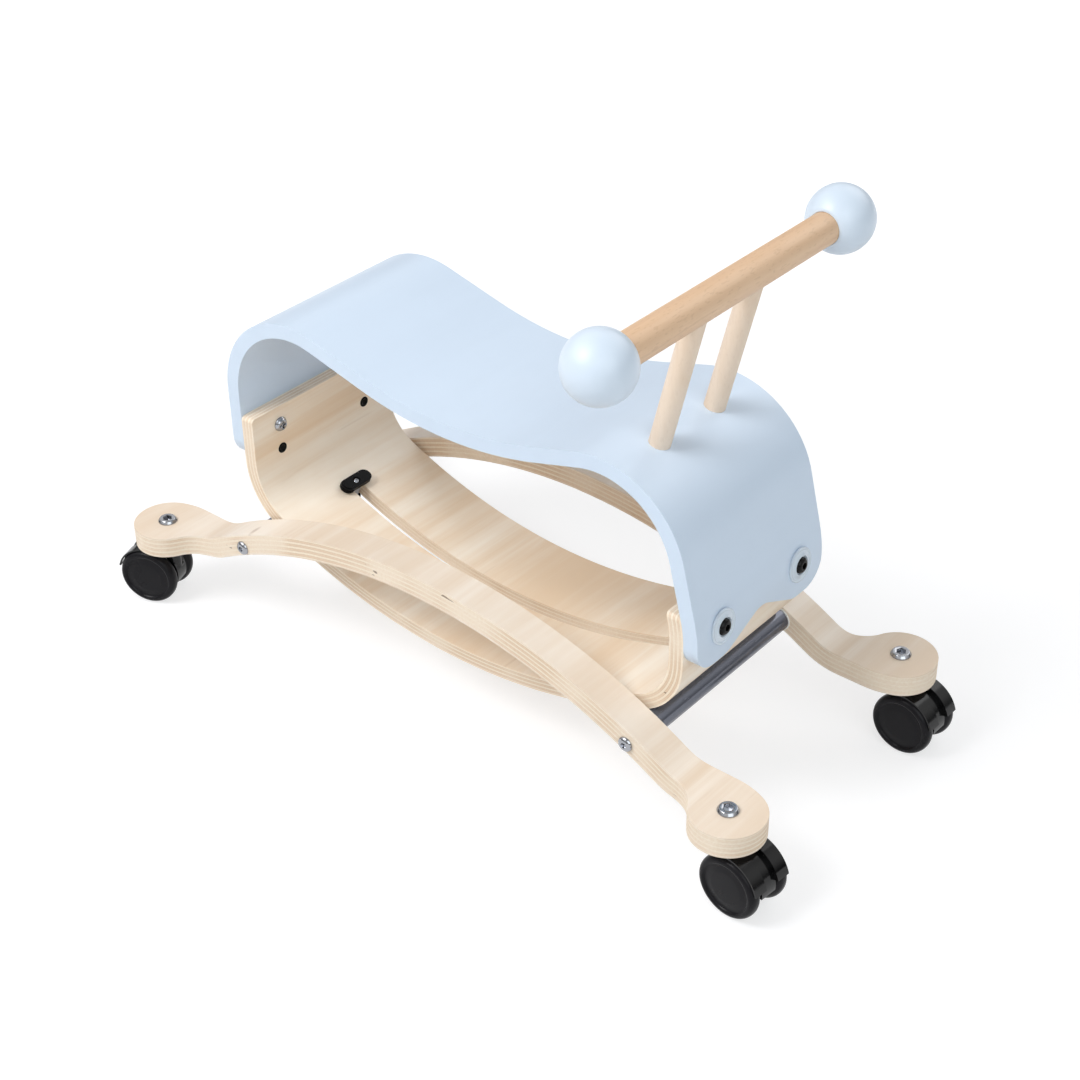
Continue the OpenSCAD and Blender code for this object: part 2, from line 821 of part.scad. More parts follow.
// A wheel: rounded tread, raised rim and a flat sunk disc on its outer face
module caster_wheel(s) {
    round_in = 5;
    round_out = 1.6;
    sink = 1.3;
    disc_r = 17;
    color("#2b2a2e") translate([trail, 0, wheel_r]) scale([1, s, 1]) rotate([-90, 0, 0])
    difference() {
        rotate_extrude() {
            polygon([
                [0, wheel_in], [wheel_r - round_in, wheel_in], [wheel_r - round_in, wheel_in + round_in],
                [wheel_r, wheel_in + round_in], [wheel_r, wheel_out - round_out],
                [wheel_r - round_out, wheel_out - round_out], [wheel_r - round_out, wheel_out],
                [disc_r + 1, wheel_out], [disc_r, wheel_out - sink], [0, wheel_out - sink]
            ]);
            translate([wheel_r - round_in, wheel_in + round_in]) intersection() {
                circle(r = round_in);
                translate([0, -round_in]) square(round_in);
            }
            translate([wheel_r - round_out, wheel_out - round_out]) intersection() {
                circle(r = round_out);
                square(round_out);
            }
        }
        cylinder(r = axle_r + fit, h = wheel_out - 3.8);
    }
}

// The stem hangs from the arm by its flange; the hood turns on it
module caster_stem() {
    color("#b9babd") {
        translate([0, 0, stem_foot_z + 0.4]) cylinder(r = stem_r, h = arm_end_z - 4 - stem_foot_z);
        translate([0, 0, arm_under_z - flange_t]) cylinder(r = 9, h = flange_t);
    }
}

// The sleeve nut on top of the arm, with its hexagonal socket
module caster_nut() {
    color("#dcdddf") difference() {
        union() {
            translate([0, 0, arm_end_z]) cylinder(r1 = cap_nut_r, r2 = cap_nut_r - 1.4, h = cap_nut_h);
            translate([0, 0, arm_under_z + 1]) cylinder(r = sleeve_r, h = arm_t - 1);
        }
        translate([0, 0, arm_under_z]) cylinder(r = stem_r + fit, h = arm_t - 3);
        translate([0, 0, arm_end_z - 1]) cylinder(r = 3.6, h = 10, $fn = 6);
    }
}

module at_front_right() {
    translate([caster_x, -caster_y, 0]) rotate([0, 0, swivel_front_right]) children();
}

module at_front_left() {
    translate([caster_x, caster_y, 0]) rotate([0, 0, swivel_front_left]) children();
}

module at_rear_right() {
    translate([-caster_x, -caster_y, 0]) rotate([0, 0, swivel_rear_right]) children();
}

module at_rear_left() {
    translate([-caster_x, caster_y, 0]) rotate([0, 0, swivel_rear_left]) children();
}

seat_shell();
rocker_base();
arm_right();
arm_left();
front_cross_tube();
rear_cross_tube();
tube_plugs();
tube_washers();
tube_bolts();
front_saddle();
rear_saddle();
front_turn_button();
rear_turn_button();
button_screws();
button_spacers();
handle_bar();
post_right();
post_left();
ball_right();
ball_left();
post_screws();
front_bolts();
front_washers();
front_nuts();
rear_bolts();
rear_washers();
rear_nuts();
at_front_right() caster_hood();  // front_right_hood
at_front_right() caster_axle();  // front_right_axle
at_front_right() caster_wheel(-1);  // front_right_wheel_a
at_front_right() caster_wheel(1);  // front_right_wheel_b
at_front_right() caster_stem();  // front_right_stem
at_front_right() caster_nut();  // front_right_nut
at_front_left() caster_hood();  // front_left_hood
at_front_left() caster_axle();  // front_left_axle
at_front_left() caster_wheel(-1);  // front_left_wheel_a
at_front_left() caster_wheel(1);  // front_left_wheel_b
at_front_left() caster_stem();  // front_left_stem
at_front_left() caster_nut();  // front_left_nut
at_rear_right() caster_hood();  // rear_right_hood
at_rear_right() caster_axle();  // rear_right_axle
at_rear_right() caster_wheel(-1);  // rear_right_wheel_a
at_rear_right() caster_wheel(1);  // rear_right_wheel_b
at_rear_right() caster_stem();  // rear_right_stem
at_rear_right() caster_nut();  // rear_right_nut
at_rear_left() caster_hood();  // rear_left_hood
at_rear_left() caster_axle();  // rear_left_axle
at_rear_left() caster_wheel(-1);  // rear_left_wheel_a
at_rear_left() caster_wheel(1);  // rear_left_wheel_b
at_rear_left() caster_stem();  // rear_left_stem
at_rear_left() caster_nut();  // rear_left_nut
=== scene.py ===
"""Looks of the wooden balance rocker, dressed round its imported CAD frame."""

import logging
import math
from collections.abc import Callable, Sequence
from dataclasses import dataclass, field
from enum import Enum

import bmesh
import bpy
import numpy as np
from mathutils import Matrix, Vector

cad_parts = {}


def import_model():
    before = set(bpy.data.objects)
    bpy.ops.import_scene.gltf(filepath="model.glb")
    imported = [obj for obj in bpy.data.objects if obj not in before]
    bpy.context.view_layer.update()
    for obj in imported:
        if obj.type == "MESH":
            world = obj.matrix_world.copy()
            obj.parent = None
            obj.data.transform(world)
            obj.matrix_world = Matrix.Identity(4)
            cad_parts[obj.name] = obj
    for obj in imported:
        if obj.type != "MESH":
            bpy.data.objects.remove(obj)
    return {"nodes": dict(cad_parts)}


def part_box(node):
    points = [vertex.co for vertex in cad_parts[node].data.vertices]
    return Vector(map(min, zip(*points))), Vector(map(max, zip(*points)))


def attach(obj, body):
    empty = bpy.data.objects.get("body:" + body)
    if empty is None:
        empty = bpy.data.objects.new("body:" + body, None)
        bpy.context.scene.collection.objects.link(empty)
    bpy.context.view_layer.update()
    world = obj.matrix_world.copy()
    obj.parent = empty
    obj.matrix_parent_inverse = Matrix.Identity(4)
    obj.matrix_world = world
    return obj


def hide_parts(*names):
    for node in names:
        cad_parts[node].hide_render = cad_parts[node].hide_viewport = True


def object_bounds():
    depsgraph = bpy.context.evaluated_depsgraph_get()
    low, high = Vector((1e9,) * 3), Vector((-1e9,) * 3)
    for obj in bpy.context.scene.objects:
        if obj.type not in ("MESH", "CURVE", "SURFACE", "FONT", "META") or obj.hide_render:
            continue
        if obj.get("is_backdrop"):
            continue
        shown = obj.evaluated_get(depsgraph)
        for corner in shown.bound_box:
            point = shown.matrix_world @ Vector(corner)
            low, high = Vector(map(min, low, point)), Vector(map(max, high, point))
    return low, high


logging.basicConfig(level=logging.INFO, format="%(message)s")
log = logging.getLogger("balance rocker")

MM = 0.001
AROUND = 96
CRISP = math.radians(40.0)
Array = np.ndarray
Piece = bpy.types.Object
Node = bpy.types.Node
Socket = bpy.types.NodeSocket
Color = tuple[float, float, float, float]
Triple = tuple[float, float, float]
Profile = Sequence[tuple[float, ...]]


class Corner(Enum):
    """One caster's place: its name, the signs of its X and Y, and its swivel angle in degrees."""

    FRONT_RIGHT = ("front_right", 1, -1, -5.3)
    FRONT_LEFT = ("front_left", 1, 1, -1.6)
    REAR_RIGHT = ("rear_right", -1, -1, 201.4)
    REAR_LEFT = ("rear_left", -1, 1, 171.0)


class End(Enum):
    """The front or the rear of the object, with the sign of its X."""

    FRONT = ("front", 1)
    REAR = ("rear", -1)


# Colour and small geometry helpers


def paint(red: int, green: int, blue: int) -> Color:
    """Turns an sRGB colour of 0 to 255 into the linear colour that a shader takes.

    Args:
        red: Red, 0 to 255.
        green: Green, 0 to 255.
        blue: Blue, 0 to 255.

    Returns:
        Linear red, green and blue, and an alpha of 1.
    """
    c = np.array([red, green, blue]) / 255.0
    lin = np.where(c <= 0.04045, c / 12.92, ((c + 0.055) / 1.055) ** 2.4)
    return (float(lin[0]), float(lin[1]), float(lin[2]), 1.0)


def hex_reach(turn: Array) -> Array:
    """Distance from the centre to a hexagon's side, as a share of its corner's distance.

    Formula: cos 30 over cos of the angle from the nearest side's middle.

    Args:
        turn: Angles in radians.

    Returns:
        The share at each angle, 0.866 to 1.
    """
    sixth = math.pi / 3
    return math.cos(sixth / 2) / np.cos(np.mod(turn, sixth) - sixth / 2)


def cross_reach(turn: Array) -> Array:
    """Distance from the centre to a cross recess's side, as a share of its arms' length.

    Formula: the arm's half width over the sine of the angle from the nearest arm,
    and at most 1.

    Args:
        turn: Angles in radians.

    Returns:
        The share at each angle, 0.42 to 1.
    """
    off = np.mod(turn + math.pi / 4, math.pi / 2) - math.pi / 4
    return np.minimum(1.0, 0.3 / np.maximum(np.abs(np.sin(off)), 0.3))


def shade(color: Color, times: float, plus: float = 0.0) -> Color:
    """A linear colour made darker or lighter: each part times a number, plus another, at most 1."""
    red, green, blue = (min(1.0, c * times + plus) for c in color[:3])
    return (red, green, blue, 1.0)


def stand(x: float, y: float, z: float, lean: float) -> Matrix:
    """A place in millimetres, leaned about Y.

    Args:
        x: Place along X.
        y: Place along Y.
        z: Height.
        lean: Angle about Y in degrees.

    Returns:
        The matrix that puts a shape there.
    """
    return Matrix.Translation((x, y, z)) @ Matrix.Rotation(math.radians(lean), 4, "Y")


def moved(points: Array, place: Matrix) -> Array:
    """Carries points through a matrix: rotation times point, plus the offset."""
    m = np.array(place)
    return points @ m[:3, :3].T + m[:3, 3]


@dataclass
class Shape:
    """Points in millimetres with the faces between them."""

    points: Array
    faces: list[tuple[int, ...]]

    def at(self, place: Matrix) -> "Shape":
        """The same shape at another place."""
        return Shape(moved(self.points, place), self.faces)

    def plus(self, other: "Shape") -> "Shape":
        """This shape and another as one."""
        n = len(self.points)
        faces = self.faces + [tuple(i + n for i in f) for f in other.faces]
        return Shape(np.vstack([self.points, other.points]), faces)


def together(shapes: Sequence[Shape]) -> Shape:
    """Joins several shapes into one."""
    out = shapes[0]
    for s in shapes[1:]:
        out = out.plus(s)
    return out


def grid_faces(rows: int, cols: int, ring: bool) -> list[tuple[int, ...]]:
    """Quads of a grid whose columns run round.

    Args:
        rows: Number of rows.
        cols: Number of points in each row, which closes on itself.
        ring: Whether the last row joins the first.

    Returns:
        The quads.
    """
    i, j = np.meshgrid(np.arange(rows if ring else rows - 1), np.arange(cols), indexing="ij")
    a = i * cols + j
    b = i * cols + (j + 1) % cols
    k = (i + 1) % rows
    quads = np.stack([a, b, k * cols + (j + 1) % cols, k * cols + j], axis=-1)
    return [tuple(q) for q in quads.reshape(-1, 4).tolist()]


def turned(
    profile: Profile,
    ring: bool = False,
    around: int = AROUND,
    reach: Callable[[Array], Array] = hex_reach,
) -> Shape:
    """A profile turned about Z: x = r cos t, y = r sin t, z = h.

    A third number in a row, 0 to 1, pulls the circle towards a hexagon or a cross:
    r is multiplied by 1 - w + w times that outline's reach at the angle.

    Args:
        profile: Rows of radius, height and, where wanted, the share of the outline.
        ring: Whether the profile closes on itself, as a tube's does.
        around: Number of points round the axis.
        reach: The outline that a third number pulls towards.

    Returns:
        The turned shape; rows at radius 0 become one point when doubles merge.
    """
    rows = np.array([(p + (0.0,))[:3] for p in profile], float)
    t = np.linspace(0, 2 * math.pi, around, endpoint=False)
    pull = 1 - rows[:, 2:3] + rows[:, 2:3] * reach(t)[None, :]
    r = rows[:, 0:1] * pull
    z = np.repeat(rows[:, 1:2], around, axis=1)
    pts = np.stack([r * np.cos(t), r * np.sin(t), z], axis=-1).reshape(-1, 3)
    return Shape(pts, grid_faces(len(rows), around, ring))


def rounded(profile: Profile, radius: float, steps: int = 4) -> list[tuple[float, ...]]:
    """Rounds the inner corners of an open profile.

    Formula: each corner is cut back by at most the radius along both legs, and
    a quadratic curve (1-u)^2 a + 2u(1-u) corner + u^2 b joins the cuts.

    Args:
        profile: Points of radius and height.
        radius: How far the rounding reaches along each leg.
        steps: Number of points on each rounding, less one.

    Returns:
        The rounded profile.
    """
    p = np.array(profile, float)
    u = np.linspace(0, 1, steps + 1)[:, None]
    out = [tuple(p[0])]
    for before, corner, after in zip(p[:-2], p[1:-1], p[2:]):
        la, lb = np.linalg.norm(before - corner), np.linalg.norm(after - corner)
        cut = min(radius, 0.48 * la, 0.48 * lb)
        a = corner + (before - corner) / la * cut
        b = corner + (after - corner) / lb * cut
        arc = (1 - u) ** 2 * a + 2 * u * (1 - u) * corner + u**2 * b
        out += [tuple(q) for q in arc]
    out.append(tuple(p[-1]))
    return out


def along_y(shape: Shape, flip: bool = False) -> Shape:
    """Lays a turned shape's axis along Y, or along -Y when flipped."""
    return shape.at(Matrix.Rotation(math.radians(90 if flip else -90), 4, "X"))


def make_piece(name: str, shape: Shape) -> Piece:
    """Puts a shape into a mesh at the origin, merges its poles and turns its faces outwards.

    Args:
        name: The piece's name.
        shape: Points in millimetres and faces.

    Returns:
        The linked object.
    """
    mesh = bpy.data.meshes.new(name)
    mesh.from_pydata((shape.points * MM).tolist(), [], shape.faces)
    bm = bmesh.new()
    bm.from_mesh(mesh)
    bmesh.ops.remove_doubles(bm, verts=bm.verts, dist=1e-6)
    bmesh.ops.dissolve_degenerate(bm, edges=bm.edges, dist=1e-7)
    bmesh.ops.recalc_face_normals(bm, faces=bm.faces)
    bm.to_mesh(mesh)
    bm.free()
    mesh.shade_smooth()
    mesh.set_sharp_from_angle(angle=CRISP)
    obj = bpy.data.objects.new(name, mesh)
    bpy.context.scene.collection.objects.link(obj)
    return obj


def softened(node: Piece, name: str, width: float, segments: int = 3) -> Piece:
    """A copy of a CAD node whose crisp edges are rounded over, as sanding leaves them.

    Args:
        node: The CAD node's object.
        name: The new piece's name.
        width: Reach of the rounding in millimetres.
        segments: Number of facets across the rounding.

    Returns:
        The linked copy with its modifiers applied.
    """
    bm = bmesh.new()
    bm.from_mesh(node.data)
    bmesh.ops.remove_doubles(bm, verts=bm.verts, dist=2e-6)
    bmesh.ops.dissolve_limit(bm, angle_limit=math.radians(0.2), verts=bm.verts, edges=bm.edges)
    mesh = bpy.data.meshes.new(name)
    bm.to_mesh(mesh)
    bm.free()
    obj = bpy.data.objects.new(name, mesh)
    bpy.context.scene.collection.objects.link(obj)
    bevel = obj.modifiers.new("sanded edges", "BEVEL")
    bevel.width = width * MM
    bevel.segments = segments
    bevel.limit_method = "ANGLE"
    bevel.angle_limit = CRISP
    bevel.miter_outer = "MITER_ARC"
    bevel.use_clamp_overlap = True
    weigh = obj.modifiers.new("even shading", "WEIGHTED_NORMAL")
    weigh.keep_sharp = True
    mesh.shade_smooth()
    graph = bpy.context.evaluated_depsgraph_get()
    done = bpy.data.meshes.new_from_object(obj.evaluated_get(graph))
    obj.modifiers.clear()
    obj.data = done
    bpy.data.meshes.remove(mesh)
    done.materials.clear()
    return obj


# Shader trees


class Tree:
    """A shader node tree with short calls that add nodes and join them."""

    def __init__(self, tree: bpy.types.NodeTree) -> None:
        """Keeps the tree that the nodes go into."""
        self.tree = tree

    def node(self, kind: str, **settings: object) -> Node:
        """Adds a node and sets its plain properties."""
        made = self.tree.nodes.new(kind)
        for key, value in settings.items():
            setattr(made, key, value)
        return made

    def put(self, socket: Socket, value: object) -> None:
        """Links a socket, or sets its default value."""
        if isinstance(value, bpy.types.NodeSocket):
            self.tree.links.new(value, socket)
        elif value is not None:
            socket.default_value = value

    def math(self, operation: str, a: object, b: object = None) -> Socket:
        """A Math node's result."""
        n = self.node("ShaderNodeMath", operation=operation)
        self.put(n.inputs[0], a)
        self.put(n.inputs[1], b)
        return n.outputs[0]

    def plus(self, a: object, b: object) -> Socket:
        """The sum of two values."""
        return self.math("ADD", a, b)

    def less(self, a: object, b: object) -> Socket:
        """The first value less the second."""
        return self.math("SUBTRACT", a, b)

    def times(self, a: object, b: object) -> Socket:
        """The product of two values."""
        return self.math("MULTIPLY", a, b)

    def vector(self, operation: str, a: object, b: object = None) -> Node:
        """A Vector Math node."""
        n = self.node("ShaderNodeVectorMath", operation=operation)
        self.put(n.inputs[0], a)
        if b is not None:
            self.put(n.inputs[1], b)
        return n

    def scaled(self, vector: Socket, stretch: Triple) -> Socket:
        """A vector multiplied by fixed numbers along each axis."""
        return self.vector("MULTIPLY", vector, stretch).outputs[0]

    def parts(self, vector: Socket) -> Sequence[Socket]:
        """A vector's X, Y and Z."""
        n = self.node("ShaderNodeSeparateXYZ")
        self.put(n.inputs[0], vector)
        return n.outputs

    def reach(self, a: Socket, b: Socket) -> Socket:
        """Distance from two offsets: the root of the sum of their squares."""
        return self.math("SQRT", self.plus(self.times(a, a), self.times(b, b)))

    def pick(self, test: Socket, yes: Socket, no: Socket) -> Socket:
        """The first value where the test is 1 and the second where it is 0."""
        rest = self.less(1.0, test)
        return self.plus(self.times(test, yes), self.times(rest, no))

    def even(self, value: Socket) -> Socket:
        """One value as a vector of three equal parts."""
        n = self.node("ShaderNodeCombineXYZ")
        for i in range(3):
            self.put(n.inputs[i], value)
        return n.outputs[0]

    def noise(self, vector: Socket, scale: float, detail: float = 3.0, rough: float = 0.55) -> Socket:
        """A Noise Texture's value."""
        n = self.node("ShaderNodeTexNoise")
        self.put(n.inputs["Vector"], vector)
        self.put(n.inputs["Scale"], scale)
        self.put(n.inputs["Detail"], detail)
        self.put(n.inputs["Roughness"], rough)
        return n.outputs["Fac"]

    def remap(
        self, value: Socket, low: float, high: float, to_low: float = 0.0, to_high: float = 1.0
    ) -> Socket:
        """A value carried smoothly from one range to another, clamped."""
        n = self.node("ShaderNodeMapRange", interpolation_type="SMOOTHSTEP")
        for i, v in enumerate((value, low, high, to_low, to_high)):
            self.put(n.inputs[i], v)
        return n.outputs[0]

    def blend(self, share: object, a: object, b: object) -> Socket:
        """Two colours mixed by a share."""
        n = self.node("ShaderNodeMix", data_type="RGBA")
        self.put(n.inputs[0], share)
        self.put(n.inputs[6], a)
        self.put(n.inputs[7], b)
        return n.outputs[2]

    def bump(self, height: Socket, reach: float, strength: float) -> Socket:
        """A Bump node's normal, with its reach in metres."""
        n = self.node("ShaderNodeBump")
        self.put(n.inputs["Height"], height)
        self.put(n.inputs["Distance"], reach)
        self.put(n.inputs["Strength"], strength)
        return n.outputs["Normal"]


@dataclass
class Effect:
    """A shader node group that is built once and placed in each material that uses it."""

    name: str
    takes: tuple[tuple[str, str, object], ...]
    gives: tuple[tuple[str, str], ...]
    recipe: Callable[[Tree, Node, Node], None]
    group: bpy.types.NodeTree | None = None

    def build(self) -> bpy.types.NodeTree:
        """Makes the group with its named sockets the first time, and returns it."""
        if self.group is None:
            g = bpy.data.node_groups.new(self.name, "ShaderNodeTree")
            for label, kind, start in self.takes:
                s = g.interface.new_socket(name=label, in_out="INPUT", socket_type=kind)
                if start is not None:
                    s.default_value = start
            for label, kind in self.gives:
                g.interface.new_socket(name=label, in_out="OUTPUT", socket_type=kind)
            t = Tree(g)
            self.recipe(t, t.node("NodeGroupInput"), t.node("NodeGroupOutput"))
            self.group = g
        return self.group

    def use(self, tree: Tree, **values: object) -> Node:
        """Places the group in a material's tree with its own values."""
        n = tree.node("ShaderNodeGroup", node_tree=self.build())
        for label, value in values.items():
            tree.put(n.inputs[label.replace("_", " ")], value)
        return n


def _grain(t: Tree, come: Node, go: Node) -> None:
    """Long fibres, soft cloudy figure and short dark pores, stretched along one axis."""
    place = t.vector("MULTIPLY", come.outputs["Vector"], come.outputs["Stretch"]).outputs[0]
    sway = t.noise(place, 3.0, 2.0)
    swayed = t.vector("ADD", place, t.scaled(t.even(sway), (0.35, 0.35, 0.35))).outputs[0]
    fibre = t.noise(swayed, 42.0, 5.0, 0.62)
    broad = t.noise(swayed, 9.0, 3.0, 0.5)
    cloud = t.noise(come.outputs["Vector"], 14.0, 3.0, 0.5)
    pore = t.remap(t.noise(place, 120.0, 2.0, 0.5), 0.66, 0.76)
    streak = t.plus(t.times(fibre, 0.55), t.times(broad, 0.45))
    t.put(go.inputs["Streak"], t.remap(streak, 0.36, 0.64))
    t.put(go.inputs["Cloud"], t.remap(cloud, 0.3, 0.7))
    t.put(go.inputs["Pore"], pore)


def _plies(t: Tree, come: Node, go: Node) -> None:
    """Plywood's edge: light and darker veneers in turn, dark glue lines, and small voids painted dark
    brown as the shade inside them.
    """
    depth, sheets = come.outputs["Depth"], come.outputs["Sheets"]
    point = come.outputs["Vector"]
    waver = t.times(t.less(t.noise(point, 60.0, 2.0), 0.5), 0.035)
    level = t.times(t.plus(depth, waver), sheets)
    within = t.math("FRACT", level)
    odd = t.math("GREATER_THAN", t.math("FRACT", t.times(level, 0.5)), 0.5)
    near = t.math("MINIMUM", within, t.less(1.0, within))
    told = t.remap(t.noise(point, 16.0, 2.0), 0.35, 0.65, 0.15, 1.0)
    glue = t.times(t.remap(near, 0.03, 0.13, 1.0, 0.0), told)
    fleck = t.noise(point, 520.0, 2.0, 0.6)
    gaps = t.noise(t.scaled(point, (0.3, 1.0, 1.0)), 170.0, 1.0)
    shaded_void = t.times(t.remap(gaps, 0.745, 0.765), odd)
    pale = t.blend(fleck, paint(236, 216, 190), paint(250, 238, 222))
    dark = t.blend(fleck, paint(219, 190, 158), paint(237, 215, 189))
    wood = t.blend(t.times(odd, told), pale, dark)
    wood = t.blend(t.times(glue, 0.36), wood, paint(170, 132, 98))
    # Painted shade: the voids take a dark brown that stands for the shade inside the hollows.
    wood = t.blend(t.times(shaded_void, 0.75), wood, paint(96, 62, 40))
    edge = t.times(t.remap(depth, 0.045, 0.075), t.remap(depth, 0.925, 0.955, 1.0, 0.0))
    t.put(go.inputs["Color"], wood)
    t.put(go.inputs["Edge"], edge)
    sunk = t.plus(glue, t.times(shaded_void, 0.5))
    t.put(go.inputs["Height"], t.less(t.times(fleck, 0.4), sunk))


def _wear(t: Tree, come: Node, go: Node) -> None:
    """Uneven gloss and faint dust: broad patches, rubbed specks and fine scratches."""
    point = come.outputs["Vector"]
    patch = t.remap(t.noise(point, 22.0, 4.0, 0.6), 0.3, 0.72)
    speck = t.remap(t.noise(point, 480.0, 2.0), 0.64, 0.74)
    scratch = t.remap(t.noise(t.scaled(point, (30.0, 2.0, 9.0)), 26.0, 2.0), 0.62, 0.7)
    spread = t.times(t.less(patch, 0.5), come.outputs["Spread"])
    rough = t.plus(come.outputs["Roughness"], spread)
    t.put(go.inputs["Roughness"], t.plus(rough, t.times(scratch, 0.06)))
    t.put(go.inputs["Patch"], patch)
    t.put(go.inputs["Speck"], speck)


FLOAT, COLOR, VECTOR = "NodeSocketFloat", "NodeSocketColor", "NodeSocketVector"
GRAIN = Effect(
    "wood grain",
    (("Vector", VECTOR, None), ("Stretch", VECTOR, (1.0, 0.08, 1.0))),
    (("Streak", FLOAT), ("Cloud", FLOAT), ("Pore", FLOAT)),
    _grain,
)
PLIES = Effect(
    "ply edge",
    (("Vector", VECTOR, None), ("Depth", FLOAT, 0.5), ("Sheets", FLOAT, 9.0)),
    (("Color", COLOR), ("Edge", FLOAT), ("Height", FLOAT)),
    _plies,
)
WEAR = Effect(
    "gloss wear",
    (("Vector", VECTOR, None), ("Roughness", FLOAT, 0.4), ("Spread", FLOAT, 0.1)),
    (("Roughness", FLOAT), ("Patch", FLOAT), ("Speck", FLOAT)),
    _wear,
)


@dataclass(frozen=True)
class Finish:
    """What every finish has: a name and a material with one Principled shader."""

    name: str

    def begin(self) -> tuple[bpy.types.Material, Tree, Node, Socket]:
        """Starts the material.

        Returns:
            The material, its tree, the Principled shader and the Object coordinates.
        """
        m = bpy.data.materials.new(self.name)
        m.use_nodes = True
        m.node_tree.nodes.clear()
        t = Tree(m.node_tree)
        shader = t.node("ShaderNodeBsdfPrincipled")
        out = t.node("ShaderNodeOutputMaterial")
        t.put(out.inputs["Surface"], shader.outputs["BSDF"])
        return m, t, shader, t.node("ShaderNodeTexCoord").outputs["Object"]


@dataclass(frozen=True)
class Painted(Finish):
    """Satin paint over wood: faint brush bands, grain telling through, and uneven gloss."""

    color: tuple[int, int, int] = (202, 220, 240)
    along: Triple = (1.0, 0.1, 1.0)
    gloss: float = 0.38

    def build(self) -> bpy.types.Material:
        """Makes the material."""
        m, t, shader, at = self.begin()
        grain = GRAIN.use(t, Vector=at, Stretch=self.along)
        wear = WEAR.use(t, Vector=at, Roughness=self.gloss, Spread=0.1)
        base = paint(*self.color)
        low, high = shade(base, 0.97), shade(base, 1.02)
        tone = t.blend(t.times(grain.outputs["Streak"], 0.4), low, high)
        tone = t.blend(t.times(grain.outputs["Cloud"], 0.4), tone, high)
        tone = t.blend(t.times(wear.outputs["Speck"], 0.05), tone, paint(170, 184, 200))
        t.put(shader.inputs["Base Color"], tone)
        t.put(shader.inputs["Roughness"], wear.outputs["Roughness"])
        relief = t.plus(t.times(grain.outputs["Streak"], 0.7), wear.outputs["Speck"])
        t.put(shader.inputs["Normal"], t.bump(relief, 0.00002, 0.2))
        return m


@dataclass(frozen=True)
class BentPly(Finish):
    """Clear-lacquered birch plywood: figured veneer on the faces and its sheets on the edges.

    The depth under the upper face, as a share of the thickness, is worked out from
    the Object coordinates: arcs give their radius less the distance to their centre.
    """

    sheets: float = 9.0
    pale: tuple[int, int, int] = (247, 235, 221)
    deep: tuple[int, int, int] = (232, 211, 188)
    depth: Callable[[Tree, Socket], Socket] | None = None
    stretch: Triple = (1.0, 0.07, 1.0)

    def build(self) -> bpy.types.Material:
        """Makes the material."""
        m, t, shader, at = self.begin()
        grain = GRAIN.use(t, Vector=at, Stretch=self.stretch)
        wear = WEAR.use(t, Vector=at, Roughness=0.42, Spread=0.12)
        plies = PLIES.use(t, Vector=at, Depth=self.depth(t, at), Sheets=self.sheets)
        veneer = t.blend(grain.outputs["Streak"], paint(*self.deep), paint(*self.pale))
        veneer = t.blend(t.times(grain.outputs["Cloud"], 0.25), veneer, paint(*self.deep))
        veneer = t.blend(t.times(grain.outputs["Pore"], 0.2), veneer, paint(196, 160, 124))
        knots = t.remap(t.noise(t.scaled(at, (1.0, 0.75, 1.0)), 24.0, 0.0), 0.815, 0.84)
        veneer = t.blend(t.times(knots, 0.6), veneer, paint(150, 110, 78))
        tone = t.blend(plies.outputs["Edge"], veneer, plies.outputs["Color"])
        t.put(shader.inputs["Base Color"], tone)
        rough = t.plus(wear.outputs["Roughness"], t.times(plies.outputs["Edge"], 0.18))
        t.put(shader.inputs["Roughness"], rough)
        face = t.times(grain.outputs["Streak"], 0.5)
        cut = t.times(plies.outputs["Height"], plies.outputs["Edge"])
        t.put(shader.inputs["Normal"], t.bump(t.plus(face, cut), 0.00008, 0.7))
        return m


@dataclass(frozen=True)
class TurnedWood(Finish):
    """A turned wooden rod: fine fibres along its length with short flecks and pores."""

    pale: tuple[int, int, int] = (228, 198, 160)
    deep: tuple[int, int, int] = (196, 158, 118)
    stretch: Triple = (1.0, 0.05, 1.0)
    fleck: float = 0.14

    def build(self) -> bpy.types.Material:
        """Makes the material."""
        m, t, shader, at = self.begin()
        grain = GRAIN.use(t, Vector=at, Stretch=self.stretch)
        wear = WEAR.use(t, Vector=at, Roughness=0.45, Spread=0.1)
        tone = t.blend(grain.outputs["Streak"], paint(*self.deep), paint(*self.pale))
        short = tuple(1.0 if s == 1.0 else 0.25 for s in self.stretch)
        ray = t.remap(t.noise(t.scaled(at, short), 700.0, 1.0), 0.58, 0.68)
        tone = t.blend(t.times(ray, self.fleck), tone, paint(164, 122, 84))
        tone = t.blend(t.times(grain.outputs["Pore"], 0.35), tone, paint(120, 82, 52))
        t.put(shader.inputs["Base Color"], tone)
        t.put(shader.inputs["Roughness"], wear.outputs["Roughness"])
        relief = t.less(grain.outputs["Streak"], t.plus(ray, grain.outputs["Pore"]))
        t.put(shader.inputs["Normal"], t.bump(relief, 0.00006, 0.6))
        return m


